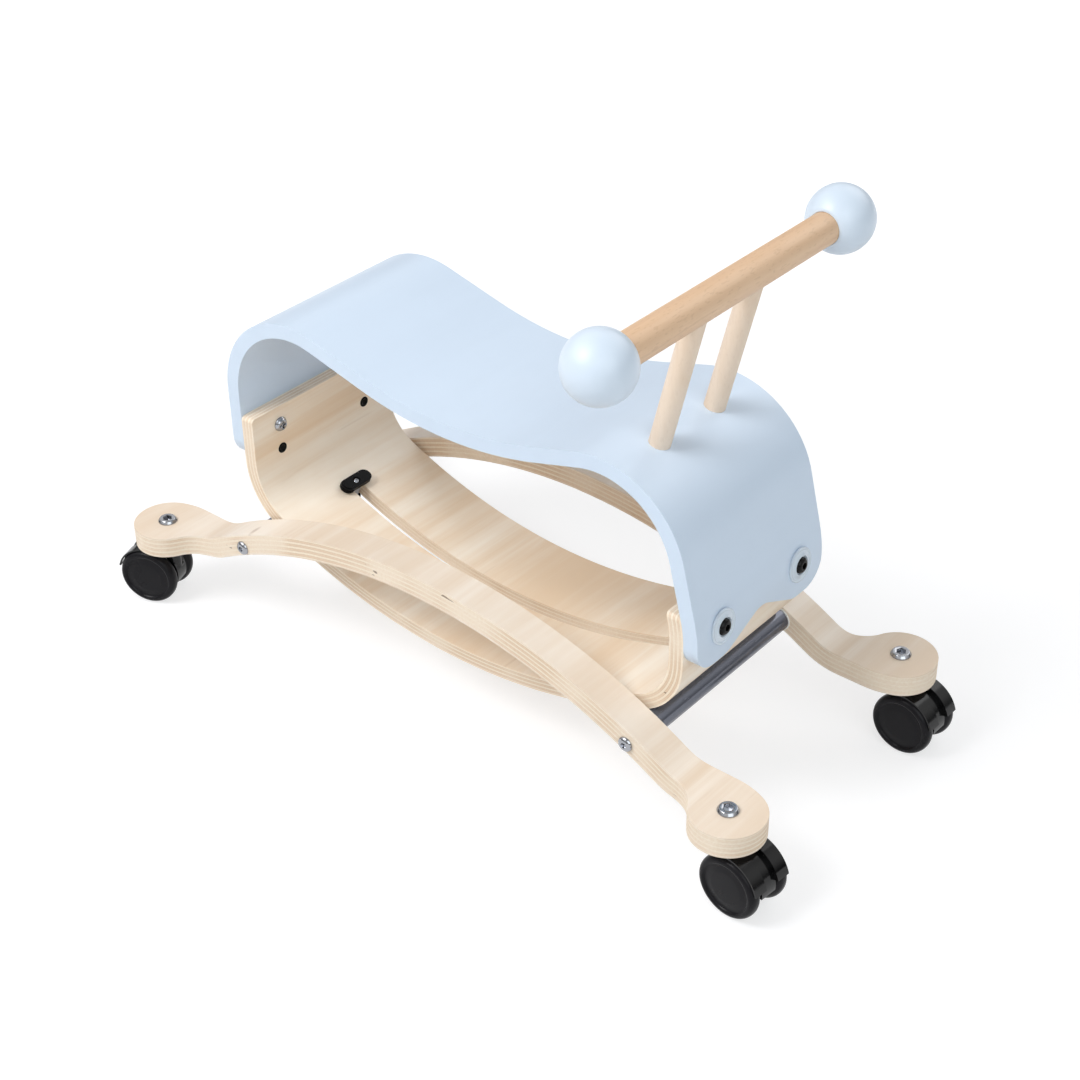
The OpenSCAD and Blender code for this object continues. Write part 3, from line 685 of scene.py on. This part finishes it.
@dataclass(frozen=True)
class Metal(Finish):
    """Plated or painted steel with drawn lines, rubbed specks and cloudy gloss."""

    color: tuple[int, int, int] = (205, 206, 208)
    metallic: float = 1.0
    gloss: float = 0.25
    drawn: Triple = (1.0, 0.04, 1.0)

    def build(self) -> bpy.types.Material:
        """Makes the material."""
        m, t, shader, at = self.begin()
        wear = WEAR.use(t, Vector=at, Roughness=self.gloss, Spread=0.12)
        lines = t.noise(t.scaled(at, self.drawn), 900.0, 2.0)
        base = paint(*self.color)
        tone = t.blend(t.times(wear.outputs["Patch"], 0.5), base, shade(base, 0.82))
        tone = t.blend(t.times(wear.outputs["Speck"], 0.25), tone, shade(base, 0.55))
        t.put(shader.inputs["Base Color"], tone)
        shader.inputs["Metallic"].default_value = self.metallic
        t.put(shader.inputs["Roughness"], wear.outputs["Roughness"])
        t.put(shader.inputs["Normal"], t.bump(lines, 0.00002, 0.4))
        return m


@dataclass(frozen=True)
class Moulded(Finish):
    """Moulded plastic: even colour with faint clouding, a fine moulded skin and rubbed gloss."""

    color: tuple[int, int, int] = (24, 24, 26)
    gloss: float = 0.2
    skin: float = 0.25
    sheen: float = 0.5

    def build(self) -> bpy.types.Material:
        """Makes the material."""
        m, t, shader, at = self.begin()
        wear = WEAR.use(t, Vector=at, Roughness=self.gloss, Spread=0.1)
        skin = t.noise(at, 1500.0, 3.0, 0.6)
        base = paint(*self.color)
        lift = shade(base, 1.25, 0.004)
        tone = t.blend(t.times(wear.outputs["Patch"], 0.4), base, lift)
        tone = t.blend(t.times(wear.outputs["Speck"], 0.15), tone, lift)
        t.put(shader.inputs["Base Color"], tone)
        t.put(shader.inputs["Roughness"], wear.outputs["Roughness"])
        shader.inputs["Specular IOR Level"].default_value = self.sheen
        t.put(shader.inputs["Normal"], t.bump(skin, 0.00003, self.skin))
        return m


# Sub-assemblies


@dataclass
class Part:
    """What every sub-assembly shares: the CAD nodes, the finishes and the list of pieces."""

    nodes: dict[str, Piece]
    finishes: dict[str, bpy.types.Material]
    made: list[str] = field(default_factory=list)

    def dress(self, node: str, finish: str) -> None:
        """Gives a CAD node that stays a better material."""
        slots = self.nodes[node].material_slots
        if not slots:
            self.nodes[node].data.materials.append(self.finishes[finish])
        for s in slots:
            s.material = self.finishes[finish]
        log.info("dressed %s with %s", node, finish)

    def add(self, obj: Piece, slot: str, finish: str, body: str = "frame") -> None:
        """Gives a new piece its finish and the body that it rides on."""
        obj.data.materials.clear()
        obj.data.materials.append(self.finishes[finish])
        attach(obj, body)
        self.made.append(obj.name)
        log.info("made %s with %d faces", obj.name, len(obj.data.polygons))

    def install(self, obj: Piece, node: str, slot: str, finish: str, body: str = "frame") -> None:
        """Makes a new piece stand for a CAD node.

        Args:
            obj: The piece.
            node: The CAD node that it replaces.
            slot: The record's material slot; not used.
            finish: The name of its finish.
            body: The body that it rides on.
        """
        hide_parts(node)
        self.add(obj, slot, finish, body)

    def stand_in(
        self, name: str, shape: Shape, node: str, slot: str, finish: str, body: str = "frame"
    ) -> None:
        """Makes a shape a piece and installs it for a CAD node."""
        self.install(make_piece(name, shape), node, slot, finish, body)

    def sand(
        self, node: str, name: str, width: float, slot: str, finish: str, body: str = "frame"
    ) -> None:
        """Installs a CAD node's own shape with its edges rounded over."""
        self.install(softened(self.nodes[node], name, width), node, slot, finish, body)


@dataclass
class Seat(Part):
    """The painted seat shell with its bolts, cup washers and inner nuts."""

    half: float = 230.0
    two_plies: float = 24.0
    knee_r: float = 110.0
    knee_z: float = 158.0
    bolt_y: float = 47.5
    bolt_z: float = 167.0
    cup_r: float = 13.5
    cup_t: float = 2.6
    head_r: float = 6.3
    head_h: float = 3.4
    nut_r: float = 6.2
    nut_h: float = 3.6

    def places(self, end: End, inset: float, inward: bool) -> list[Matrix]:
        """The two bolts' places on one end, with the shape's +Z along the bolt.

        Formula: the front bolts stand square to the knee, at the angle whose sine is
        the bolt's height over the knee's centre divided by the knee's radius.
        """
        if end is End.REAR:
            lean = 90.0 if inward else -90.0
            return [stand(inset - self.half, e * self.bolt_y, self.bolt_z, lean) for e in (-1, 1)]
        tilt = math.asin((self.bolt_z - self.knee_z) / self.knee_r)
        x = self.half - self.knee_r + (self.knee_r - inset) * math.cos(tilt)
        z = self.knee_z + (self.knee_r - inset) * math.sin(tilt)
        lean = -90.0 - math.degrees(tilt) if inward else 90.0 - math.degrees(tilt)
        return [stand(x, e * self.bolt_y, z, lean) for e in (-1, 1)]

    def cup(self) -> Shape:
        """A cup washer: thin rim, domed ring and a well for the bolt's head."""
        well, r, h = self.head_r + 0.6, self.cup_r, self.cup_t
        rim = [(3.3, 0.0), (r - 0.4, -0.4), (r, 0.0), (r, 1.2), (r - 0.5, 1.8), (r - 1.3, 1.8)]
        dome = [(r - 1.9, 1.2), (r - 2.7, 1.3), (well + 2.3, 1.7), (well + 1.2, h), (well + 0.5, h)]
        inside = [(well, h - 0.9), (well, 1.0), (3.3, 1.0)]
        return turned(rounded(rim + dome + inside, 0.4), ring=True)

    def head(self) -> Shape:
        """A low black head with a hexagonal socket, standing 1 mm up in the washer's well."""
        r, h = self.head_r, self.head_h
        side = [(0.0, 1.0), (3.0, 1.0), (r, 1.0), (r, 1.9), (r - 0.5, 2.9)]
        dome = side + [(r - 1.6, 1 + h - 0.35), (3.4, 1 + h), (2.9, 1 + h)]
        sock = [(2.75, 0.85 + h, 1.0), (2.7, h - 1.0, 1.0), (0.0, h - 1.2, 1.0)]
        return turned(rounded(dome, 0.5) + sock)

    def nut(self) -> Shape:
        """A flanged barrel nut with a domed end and a cross recess."""
        r, h = self.nut_r, self.nut_h
        flange = [(3.1, 0.0), (r, 0.0), (r, 0.9)]
        dome = [(r - 0.5, 1.5), (r - 1.1, 2.6), (r - 2.0, h - 0.1), (3.7, h)]
        recess = [(3.5, h - 0.15, 1.0), (3.1, h - 1.6, 1.0), (0.0, h - 2.2, 1.0)]
        return turned(rounded(flange + dome, 0.4) + recess, reach=cross_reach)

    def build(self) -> None:
        """Makes the shell and its fasteners."""
        self.sand("seat_shell", "seat", 1.3, "blue_ply", "seat paint")
        for end in End:
            name = end.value[0]
            sunk = 0.3 if end is End.FRONT else 0.0
            outer, inner = self.places(end, 0.0, False), self.places(end, self.two_plies + sunk, True)
            cups = together([self.cup().at(p) for p in outer])
            heads = together([self.head().at(p) for p in outer])
            nuts = together([self.nut().at(p) for p in inner])
            self.stand_in(f"{name}_cups", cups, f"{name}_washers", "pale_plastic", "cup plastic")
            self.stand_in(f"{name}_heads", heads, f"{name}_bolts", "black_steel", "black steel")
            self.stand_in(f"{name}_inner_nuts", nuts, f"{name}_nuts", "zinc", "bright zinc")


@dataclass
class Rocker(Part):
    """The bent birch base between the arms, with gloss black fills that make its spare holes dark."""

    half: float = 218.0
    ply: float = 12.0
    bolt_y: float = 47.5
    spare_z: float = 144.5
    hole_r: float = 3.3

    def hole_fill(self) -> Shape:
        """A gloss black fill for a spare hole, with a thin flange on the rocker's inner face and a
        shallow dish; it is what makes the hole dark.
        """
        r, flange, face = self.hole_r - 0.15, self.hole_r + 1.2, self.ply
        body = [(0.0, 1.0), (r, 1.0), (r, face), (flange, face), (flange, face + 0.3)]
        dish = [(flange - 0.5, face + 0.6), (r - 0.4, face + 0.6), (r - 1.2, face - 0.2)]
        return turned(rounded(body + dish + [(0.0, face - 0.2)], 0.2))

    def build(self) -> None:
        """Makes the sanded base and the black fills in the spare holes."""
        self.sand("rocker_base", "rocker", 1.1, "birch_ply", "rocker ply")
        # Only these gloss black fills make the spare holes dark.
        fills = together([
            self.hole_fill().at(stand(s * self.half, e * self.bolt_y, self.spare_z, -90.0 * s))
            for s in (-1, 1) for e in (-1, 1)
        ])
        self.add(make_piece("dark_hole_fills", fills), "black_plastic", "gloss black")


@dataclass
class Arms(Part):
    """The two arched arms, the cross tubes and what joins them."""

    tube_x: float = 194.7
    tube_z: float = 84.0
    tube_r: float = 9.5
    tube_half: float = 80.1
    arm_in: float = 81.3
    arm_out: float = 109.6

    def __post_init__(self) -> None:
        """Takes the tubes' height from the CAD frame."""
        low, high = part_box("front_cross_tube")
        self.tube_z = (low.z + high.z) / 2 / MM

    def tube(self) -> Shape:
        """A steel tube along Y with softly rounded ends."""
        r, h = self.tube_r, self.tube_half
        ease, wall = 0.4, 1.6
        lower = [(r - wall, -h), (r - ease, -h), (r, -h + ease)]
        upper = [(r, h - ease), (r - ease, h), (r - wall, h)]
        return along_y(turned(lower + [(r, 0.0)] + upper, ring=True))

    def washer(self) -> Shape:
        """A thin white washer on the plane z = 0, reaching down by its thickness."""
        r = self.tube_r + 0.7
        rows = [(3.3, 0.0), (r - 0.3, 0.0), (r, -0.3), (r, -0.9), (r - 0.3, -1.2), (3.3, -1.2)]
        return turned(rows, ring=True)

    def button(self) -> Shape:
        """A domed head with a hexagonal socket and its shank."""
        shank = [(0.0, -45.0), (3.0, -45.0), (3.0, 0.0)]
        dome = [(6.0, 0.0), (5.9, 0.9), (5.2, 2.0), (3.9, 2.75), (2.7, 3.0)]
        socket = [(2.4, 2.85, 1.0), (2.3, 1.2, 1.0), (0.0, 1.1, 1.0)]
        return turned(rounded(shank + dome, 0.4) + socket)

    def build(self) -> None:
        """Makes arms, tubes, washers and bolts."""
        for side in ("right", "left"):
            self.sand(f"arm_{side}", f"{side}_arm", 1.3, "birch_ply", "arm ply")
        washers, bolts = [], []
        for end in End:
            name, s = end.value
            tube = self.tube().at(Matrix.Translation((s * self.tube_x, 0, self.tube_z)))
            self.stand_in(f"{name}_tube", tube, f"{name}_cross_tube", "gunmetal", "gunmetal")
            for e in (-1, 1):
                outwards = Matrix.Rotation(math.radians(-90.0 * e), 4, "X")
                inner = Matrix.Translation((s * self.tube_x, e * self.arm_in, self.tube_z))
                outer = Matrix.Translation((s * self.tube_x, e * self.arm_out, self.tube_z))
                washers.append(self.washer().at(inner @ outwards))
                bolts.append(self.button().at(outer @ outwards))
        rings, screws = together(washers), together(bolts)
        self.stand_in("white_washers", rings, "tube_washers", "white_plastic", "white plastic")
        self.stand_in("arm_bolts", screws, "tube_bolts", "zinc", "bright zinc")
        self.dress("tube_plugs", "bright zinc")


@dataclass
class TurnButtons(Part):
    """The black turn-buttons over the slot's ends with their screws, sleeves and saddles."""

    def build(self) -> None:
        """Makes the sanded buttons and dresses the rest."""
        for end in End:
            name = end.value[0]
            node, body = f"{name}_turn_button", f"{name}_button"
            self.sand(node, f"{name}_clip", 0.5, "black_plastic", "gloss black", body)
            self.dress(f"{name}_saddle", "gloss black")
        screws = softened(self.nodes["button_screws"], "clip_screws", 0.15, 2)
        self.install(screws, "button_screws", "zinc", "bright zinc")
        self.dress("button_spacers", "grey plastic")


@dataclass
class Handlebar(Part):
    """The turned bar with its two balls, on two leaning posts."""

    bar_x: float = 189.0
    bar_z: float = 394.0
    bar_r: float = 12.0
    bar_half: float = 128.8
    ball_y: float = 134.8
    ball_r: float = 25.0
    ball_flat: float = 21.0
    post_y: float = 32.0
    post_r: float = 8.0
    foot_x: float = 161.0
    roll_x: float = 143.0
    roll_z: float = 208.0
    roll_r: float = 75.5

    @property
    def foot_z(self) -> float:
        """The posts' feet on the front roll: its height plus the circle's rise."""
        return self.roll_z + math.sqrt(self.roll_r**2 - (self.foot_x - self.roll_x) ** 2)

    def ball(self) -> Shape:
        """A ball about Z, flat at its lower side, closed round the bar's socket.

        Formula: r = R sin a and z = R cos a for angles a from the pole to the flat.
        """
        last = math.acos(-self.ball_flat / self.ball_r)
        a = np.linspace(0, last, 40)
        curve = [(float(self.ball_r * math.sin(v)), float(self.ball_r * math.cos(v))) for v in a]
        inner = [(self.bar_r + 0.4, -self.ball_flat), (self.bar_r + 0.05, -self.ball_flat + 0.4),
                 (self.bar_r + 0.05, -6.0), (0.0, -6.0)]
        return turned(curve + inner, around=128)

    def bar(self) -> Shape:
        """The round bar along Y with eased ends."""
        r, h = self.bar_r, self.bar_half
        ends = [(0.0, -h), (r - 1.0, -h), (r, -h + 1.0)], [(r, h - 1.0), (r - 1.0, h), (0.0, h)]
        return along_y(turned(ends[0] + [(r, -30.0), (r, 0.0), (r, 30.0)] + ends[1]))

    def post(self, e: int) -> Shape:
        """A straight post that leans forward from the seat to the bar."""
        dx, dz = self.bar_x - self.foot_x, self.bar_z - self.foot_z
        lean, length = math.degrees(math.atan2(dx, dz)), math.hypot(dx, dz)
        rows = [(0.0, -11.0), (self.post_r, -11.0), (self.post_r, 0.0), (self.post_r, length / 2),
                (self.post_r, length - 4.0), (0.0, length - 4.0)]
        return turned(rows, around=64).at(stand(self.foot_x, e * self.post_y, self.foot_z, lean))

    def build(self) -> None:
        """Makes bar, posts and balls."""
        bar = self.bar().at(Matrix.Translation((self.bar_x, 0, self.bar_z)))
        self.stand_in("bar", bar, "handle_bar", "beech", "beech")
        for side, e in (("right", -1), ("left", 1)):
            self.stand_in(f"{side}_post", self.post(e), f"post_{side}", "birch_rod", "post birch")
            tip = Matrix.Translation((self.bar_x, e * self.ball_y, self.bar_z))
            ball = along_y(self.ball(), flip=e < 0).at(tip)
            self.stand_in(f"{side}_ball", ball, f"ball_{side}", "blue_wood", "ball paint")
        self.dress("post_screws", "bright zinc")


@dataclass
class Caster(Part):
    """One twin-wheel caster: hood, axle, two wheels, stem and the nut on the arm."""

    corner: Corner = Corner.FRONT_RIGHT
    x: float = 284.6
    y: float = 112.0
    trail: float = 16.0
    wheel_r: float = 25.0
    wheel_out: float = 19.6
    wheel_w: float = 11.8
    arm_top: float = 74.0

    @property
    def place(self) -> Matrix:
        """The caster's own frame: swivel axis at the origin, axle at +X, wheels along Y."""
        _, sx, sy, turn = self.corner.value
        swivel = Matrix.Rotation(math.radians(turn), 4, "Z")
        return Matrix.Translation((sx * self.x, sy * self.y, 0)) @ swivel

    def wheel(self, side: int) -> Shape:
        """A wheel with a rounded tread, a raised rim, and a closed, faintly domed disc outside."""
        r, a, b = self.wheel_r, self.wheel_out - self.wheel_w, self.wheel_out
        bore = [(0.0, b - 3.6), (2.7, b - 3.6), (2.7, a), (r - 6.5, a), (r - 2.8, a + 1.0)]
        tread = [(r - 0.8, a + 2.8), (r, a + 5.0), (r, b - 4.2), (r - 0.5, b - 2.2), (r - 1.6, b - 0.7)]
        rim = [(r - 3.0, b), (r - 4.6, b), (r - 5.3, b - 0.6), (r - 6.0, b - 1.6), (r - 7.5, b - 1.6)]
        disc = [(r - 12.0, b - 1.0), (0.0, b - 0.6)]
        shape = turned(rounded(bore + tread + rim + disc, 0.9, 3))
        axle = self.place @ Matrix.Translation((self.trail, 0, self.wheel_r))
        return along_y(shape, flip=side < 0).at(axle)

    def cap(self) -> Shape:
        """The sleeve nut's bevelled flange and hexagonal socket, with its sleeve."""
        z = self.arm_top
        sleeve = [(4.1, z - 16.0), (5.0, z - 16.0), (5.0, z)]
        flange = [(7.9, z), (7.9, z + 0.9), (6.6, z + 2.7), (6.2, z + 3.0), (4.4, z + 3.0)]
        socket = [(4.0, z + 2.8, 1.0), (3.8, z - 0.8, 1.0), (0.0, z - 1.0, 1.0)]
        return turned(rounded(sleeve + flange, 0.35) + socket).at(self.place)

    def build(self) -> None:
        """Makes the caster's pieces."""
        name = self.corner.value[0]
        hood, body = f"{name}_hood", f"{name}_caster"
        self.sand(hood, f"{name}_fender", 0.55, "black_plastic", "hood black", body)
        for letter, side, number in (("a", -1, 1), ("b", 1, 2)):
            node, body = f"{name}_wheel_{letter}", f"{name}_wheel_{number}"
            shape = self.wheel(side)
            self.stand_in(f"{name}_roller_{letter}", shape, node, "wheel_plastic", "wheel charcoal", body)
        self.stand_in(f"{name}_cap", self.cap(), f"{name}_nut", "zinc", "bright zinc")
        self.dress(f"{name}_axle", "bright zinc")
        self.dress(f"{name}_stem", "bright zinc")


def rocker_depth(t: Tree, at: Socket) -> Socket:
    """Depth under the rocker's upper face as a share of its ply.

    Formula: below the bends' centres the bend's or the sweep's radius less the
    distance to its centre; above them half length less the distance from the middle;
    over the knee's centre in front, the knee's radius less the distance to it.

    Args:
        t: The material's tree.
        at: Object coordinates in metres.

    Returns:
        0 on the outer face, 1 on the inner face.
    """
    half, ply, bend, bend_z, sweep, knee, knee_z = 218.0, 12.0, 58.0, 142.0, 441.0, 98.0, 158.0
    middle = bend_z + math.sqrt((sweep - bend) ** 2 - (half - bend) ** 2)
    along, _, z = t.parts(at)
    x = t.math("ABSOLUTE", along)
    dx, dz = t.less(x, (half - bend) * MM), t.less(z, bend_z * MM)
    mz = t.less(z, middle * MM)
    d_bend = t.less(bend * MM, t.reach(dx, dz))
    d_sweep = t.less(sweep * MM, t.reach(x, mz))
    slope = t.times(mz, -(half - bend) / (middle - bend_z))
    low = t.pick(t.math("GREATER_THAN", x, slope), d_bend, d_sweep)
    kx, kz = t.less(along, (half - knee) * MM), t.less(z, knee_z * MM)
    on_knee = t.times(t.math("GREATER_THAN", kx, 0.0), t.math("GREATER_THAN", kz, 0.0))
    d_knee = t.less(knee * MM, t.reach(kx, kz))
    high = t.pick(on_knee, d_knee, t.less(half * MM, x))
    return t.math("DIVIDE", t.pick(t.math("GREATER_THAN", z, bend_z * MM), high, low), ply * MM)


def arm_depth(t: Tree, at: Socket) -> Socket:
    """Depth under an arm's top face as a share of its ply.

    Formula: on the arch its radius less the distance to its centre, in the
    hollows the distance to their centre less their radius, else height below the top.

    Args:
        t: The material's tree.
        at: Object coordinates in metres.

    Returns:
        0 on the top face, 1 on the lower face.
    """
    ply, end_z, arch_z, arch, hollow = 18.0, 74.0, 139.0, 466.0, 40.0
    arch_c, hollow_z = arch_z - arch, end_z + hollow
    hollow_x = math.sqrt((arch + hollow) ** 2 - (hollow_z - arch_c) ** 2)
    along, _, z = t.parts(at)
    x = t.math("ABSOLUTE", along)
    az = t.less(z, arch_c * MM)
    hx, hz = t.less(x, hollow_x * MM), t.less(z, hollow_z * MM)
    on_arch = t.math("LESS_THAN", x, t.times(az, hollow_x / (hollow_z - arch_c)))
    on_end = t.math("GREATER_THAN", x, hollow_x * MM)
    d_arch = t.less(arch * MM, t.reach(x, az))
    d_hollow = t.less(t.reach(hx, hz), hollow * MM)
    d_end = t.less(end_z * MM, z)
    d = t.pick(on_end, d_end, t.pick(on_arch, d_arch, d_hollow))
    return t.math("DIVIDE", d, ply * MM)


def all_finishes() -> dict[str, bpy.types.Material]:
    """Builds every finish once.

    Returns:
        The materials by name.
    """
    upright = (1.0, 1.0, 0.05)
    finishes = (
        Painted("seat paint", color=(211, 226, 243)),
        Painted("ball paint", color=(217, 230, 244), along=(1.0, 1.0, 1.0), gloss=0.36),
        BentPly("rocker ply", depth=rocker_depth, sheets=7.0, pale=(255, 243, 226), deep=(238, 211, 180)),
        BentPly("arm ply", depth=arm_depth, sheets=9.0),
        TurnedWood("beech", pale=(237, 204, 171), deep=(216, 176, 138)),
        TurnedWood("post birch", pale=(243, 225, 206), deep=(229, 205, 180), stretch=upright, fleck=0.06),
        Metal("gunmetal", color=(108, 111, 122), metallic=0.55, gloss=0.2),
        Metal("bright zinc", color=(170, 172, 177), gloss=0.14),
        Moulded("black steel", color=(6, 6, 7), gloss=0.22, skin=0.1, sheen=0.15),
        Moulded("gloss black", color=(8, 8, 9), gloss=0.3, sheen=0.1),
        Moulded("hood black", color=(8, 8, 9), gloss=0.15, sheen=0.35),
        Moulded("wheel charcoal", color=(23, 22, 25), gloss=0.3, skin=0.3, sheen=0.12),
        Moulded("white plastic", color=(236, 236, 232), gloss=0.35),
        Moulded("grey plastic", color=(146, 148, 152), gloss=0.4),
        Moulded("cup plastic", color=(206, 217, 228), gloss=0.2),
    )
    return {f.name: f.build() for f in finishes}


@dataclass(frozen=True)
class Lamp:
    """A soft square lamp that looks at the object: place and side in metres, power in watts."""

    name: str
    at: Triple
    size: float
    watts: float
    tint: Triple = (1.0, 1.0, 1.0)

    def hang(self) -> None:
        """Hangs the lamp at its place and turns it to the object."""
        data = bpy.data.lights.new(self.name, "AREA")
        data.size = self.size
        data.energy = self.watts
        data.color = self.tint
        obj = bpy.data.objects.new(self.name, data)
        aim = Vector((0.0, 0.0, 0.15)) - Vector(self.at)
        turn = aim.to_track_quat("-Z", "Y").to_matrix().to_4x4()
        obj.matrix_world = Matrix.Translation(self.at) @ turn
        bpy.context.scene.collection.objects.link(obj)


@dataclass
class Studio:
    """The floor, the soft lights, the white surround and the camera at the photograph's place."""

    azimuth: float = 40.174
    elevation: float = 34.095
    roll: float = 0.79
    eye: Triple = (0.8374, -0.9608, 0.9783)
    focal: float = 1972.8
    frame: float = 1080.0
    world_light: float = 0.3
    floor_half: float = 6000.0
    lamps: tuple[Lamp, ...] = (
        Lamp("key", (-1.1, -1.0, 2.2), 1.6, 13.0),
        Lamp("side", (-0.7, -1.5, 2.0), 1.0, 31.0),
        Lamp("fill", (1.8, -0.9, 1.5), 1.8, 18.0, (0.9, 0.97, 1.0)),
        Lamp("back", (0.3, 2.0, 1.6), 1.6, 12.0),
    )

    def camera(self) -> None:
        """Stands the camera where the photograph was taken."""
        a, e, r = (math.radians(v) for v in (self.azimuth, self.elevation, self.roll))
        back = np.array([math.sin(a) * math.cos(e), -math.cos(a) * math.cos(e), math.sin(e)])
        right = np.array([math.cos(a), math.sin(a), 0.0])
        up = np.cross(back, right)
        c, s = math.cos(r), math.sin(r)
        rows = np.array([c * right - s * up, s * right + c * up, back])
        data = bpy.data.cameras.new("camera")
        data.sensor_fit = "HORIZONTAL"
        data.sensor_width = 36.0
        data.lens = 36.0 * self.focal / self.frame
        data.clip_start, data.clip_end = 0.05, 50.0
        cam = bpy.data.objects.new("camera", data)
        cam.matrix_world = Matrix.Translation(self.eye) @ Matrix(rows.T.tolist()).to_4x4()
        bpy.context.scene.collection.objects.link(cam)
        bpy.context.scene.camera = cam

    def surround(self) -> None:
        """A plain soft world: white to the camera, even as light, darker low down in reflections."""
        world = bpy.data.worlds.new("surround")
        bpy.context.scene.world = world
        world.use_nodes = True
        world.node_tree.nodes.clear()
        t = Tree(world.node_tree)
        sky = t.node("ShaderNodeBackground")
        t.put(sky.inputs["Color"], (1.0, 1.0, 1.0, 1.0))
        up = t.parts(t.node("ShaderNodeTexCoord").outputs["Generated"])[2]
        ray = t.node("ShaderNodeLightPath").outputs
        even = self.world_light
        low = t.remap(up, 0.0, 0.5, 0.06 - even, 0.95 - even)
        mirrored = t.less(low, t.remap(up, 0.62, 0.95, 0.0, 0.6))
        direct = t.math("MAXIMUM", ray["Is Camera Ray"], ray["Is Transmission Ray"])
        plain = t.times(direct, 1.0 - even)
        extra = t.plus(plain, t.times(ray["Is Glossy Ray"], mirrored))
        t.put(sky.inputs["Strength"], t.plus(extra, even))
        t.put(t.node("ShaderNodeOutputWorld").inputs["Surface"], sky.outputs[0])

    def floor(self) -> None:
        """A matt floor that glows a little for the camera, so it looks white and keeps the shadow; its
        glow is weaker near the object, a painted shade round it.
        """
        corners = np.array([[-1, -1, 0], [1, -1, 0], [1, 1, 0], [-1, 1, 0]], float)
        obj = make_piece("floor", Shape(corners * self.floor_half, [(0, 1, 2, 3)]))
        m = bpy.data.materials.new("pale floor")
        m.use_nodes = True
        m.node_tree.nodes.clear()
        t = Tree(m.node_tree)
        matt, seen = t.node("ShaderNodeBsdfDiffuse"), t.node("ShaderNodeBsdfDiffuse")
        glow, both = t.node("ShaderNodeEmission"), t.node("ShaderNodeAddShader")
        mix = t.node("ShaderNodeMixShader")
        at = t.node("ShaderNodeTexCoord").outputs["Object"]
        cloud = t.noise(at, 1.5, 2.0)
        away = t.vector("LENGTH", at).outputs["Value"]
        t.put(matt.inputs["Color"], (0.8, 0.8, 0.8, 1.0))
        t.put(seen.inputs["Color"], t.blend(cloud, (0.4, 0.4, 0.41, 1.0), (0.42, 0.42, 0.43, 1.0)))
        # Painted shade: less glow within half a metre of the middle darkens the floor round the object.
        t.put(glow.inputs["Strength"], t.remap(away, 0.45, 1.6, 0.67, 1.1))
        t.put(both.inputs[0], seen.outputs[0])
        t.put(both.inputs[1], glow.outputs[0])
        ray = t.node("ShaderNodeLightPath").outputs
        t.put(mix.inputs[0], t.math("MAXIMUM", ray["Is Camera Ray"], ray["Is Glossy Ray"]))
        t.put(mix.inputs[1], matt.outputs[0])
        t.put(mix.inputs[2], both.outputs[0])
        t.put(t.node("ShaderNodeOutputMaterial").inputs["Surface"], mix.outputs[0])
        obj.data.materials.append(m)
        obj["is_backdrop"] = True

    def build(self) -> None:
        """Sets the whole studio and the plain view transform."""
        self.camera()
        self.surround()
        self.floor()
        for lamp in self.lamps:
            lamp.hang()
        bpy.context.scene.view_settings.view_transform = "Standard"


def main() -> tuple[Vector, Vector]:
    """Builds the studio and every sub-assembly in order.

    Returns:
        The box of the CAD model as loaded.
    """
    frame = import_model()
    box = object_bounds()
    nodes = frame["nodes"]
    Studio().build()
    finishes = all_finishes()
    parts: list[Part] = [Seat(nodes, finishes), Rocker(nodes, finishes), Arms(nodes, finishes),
                         TurnButtons(nodes, finishes), Handlebar(nodes, finishes)]
    parts += [Caster(nodes, finishes, corner=c) for c in Corner]
    for part in parts:
        part.build()
    log.info("%d pieces made", sum(len(p.made) for p in parts))
    return box


if __name__ == "__main__":
    cad_box = main()
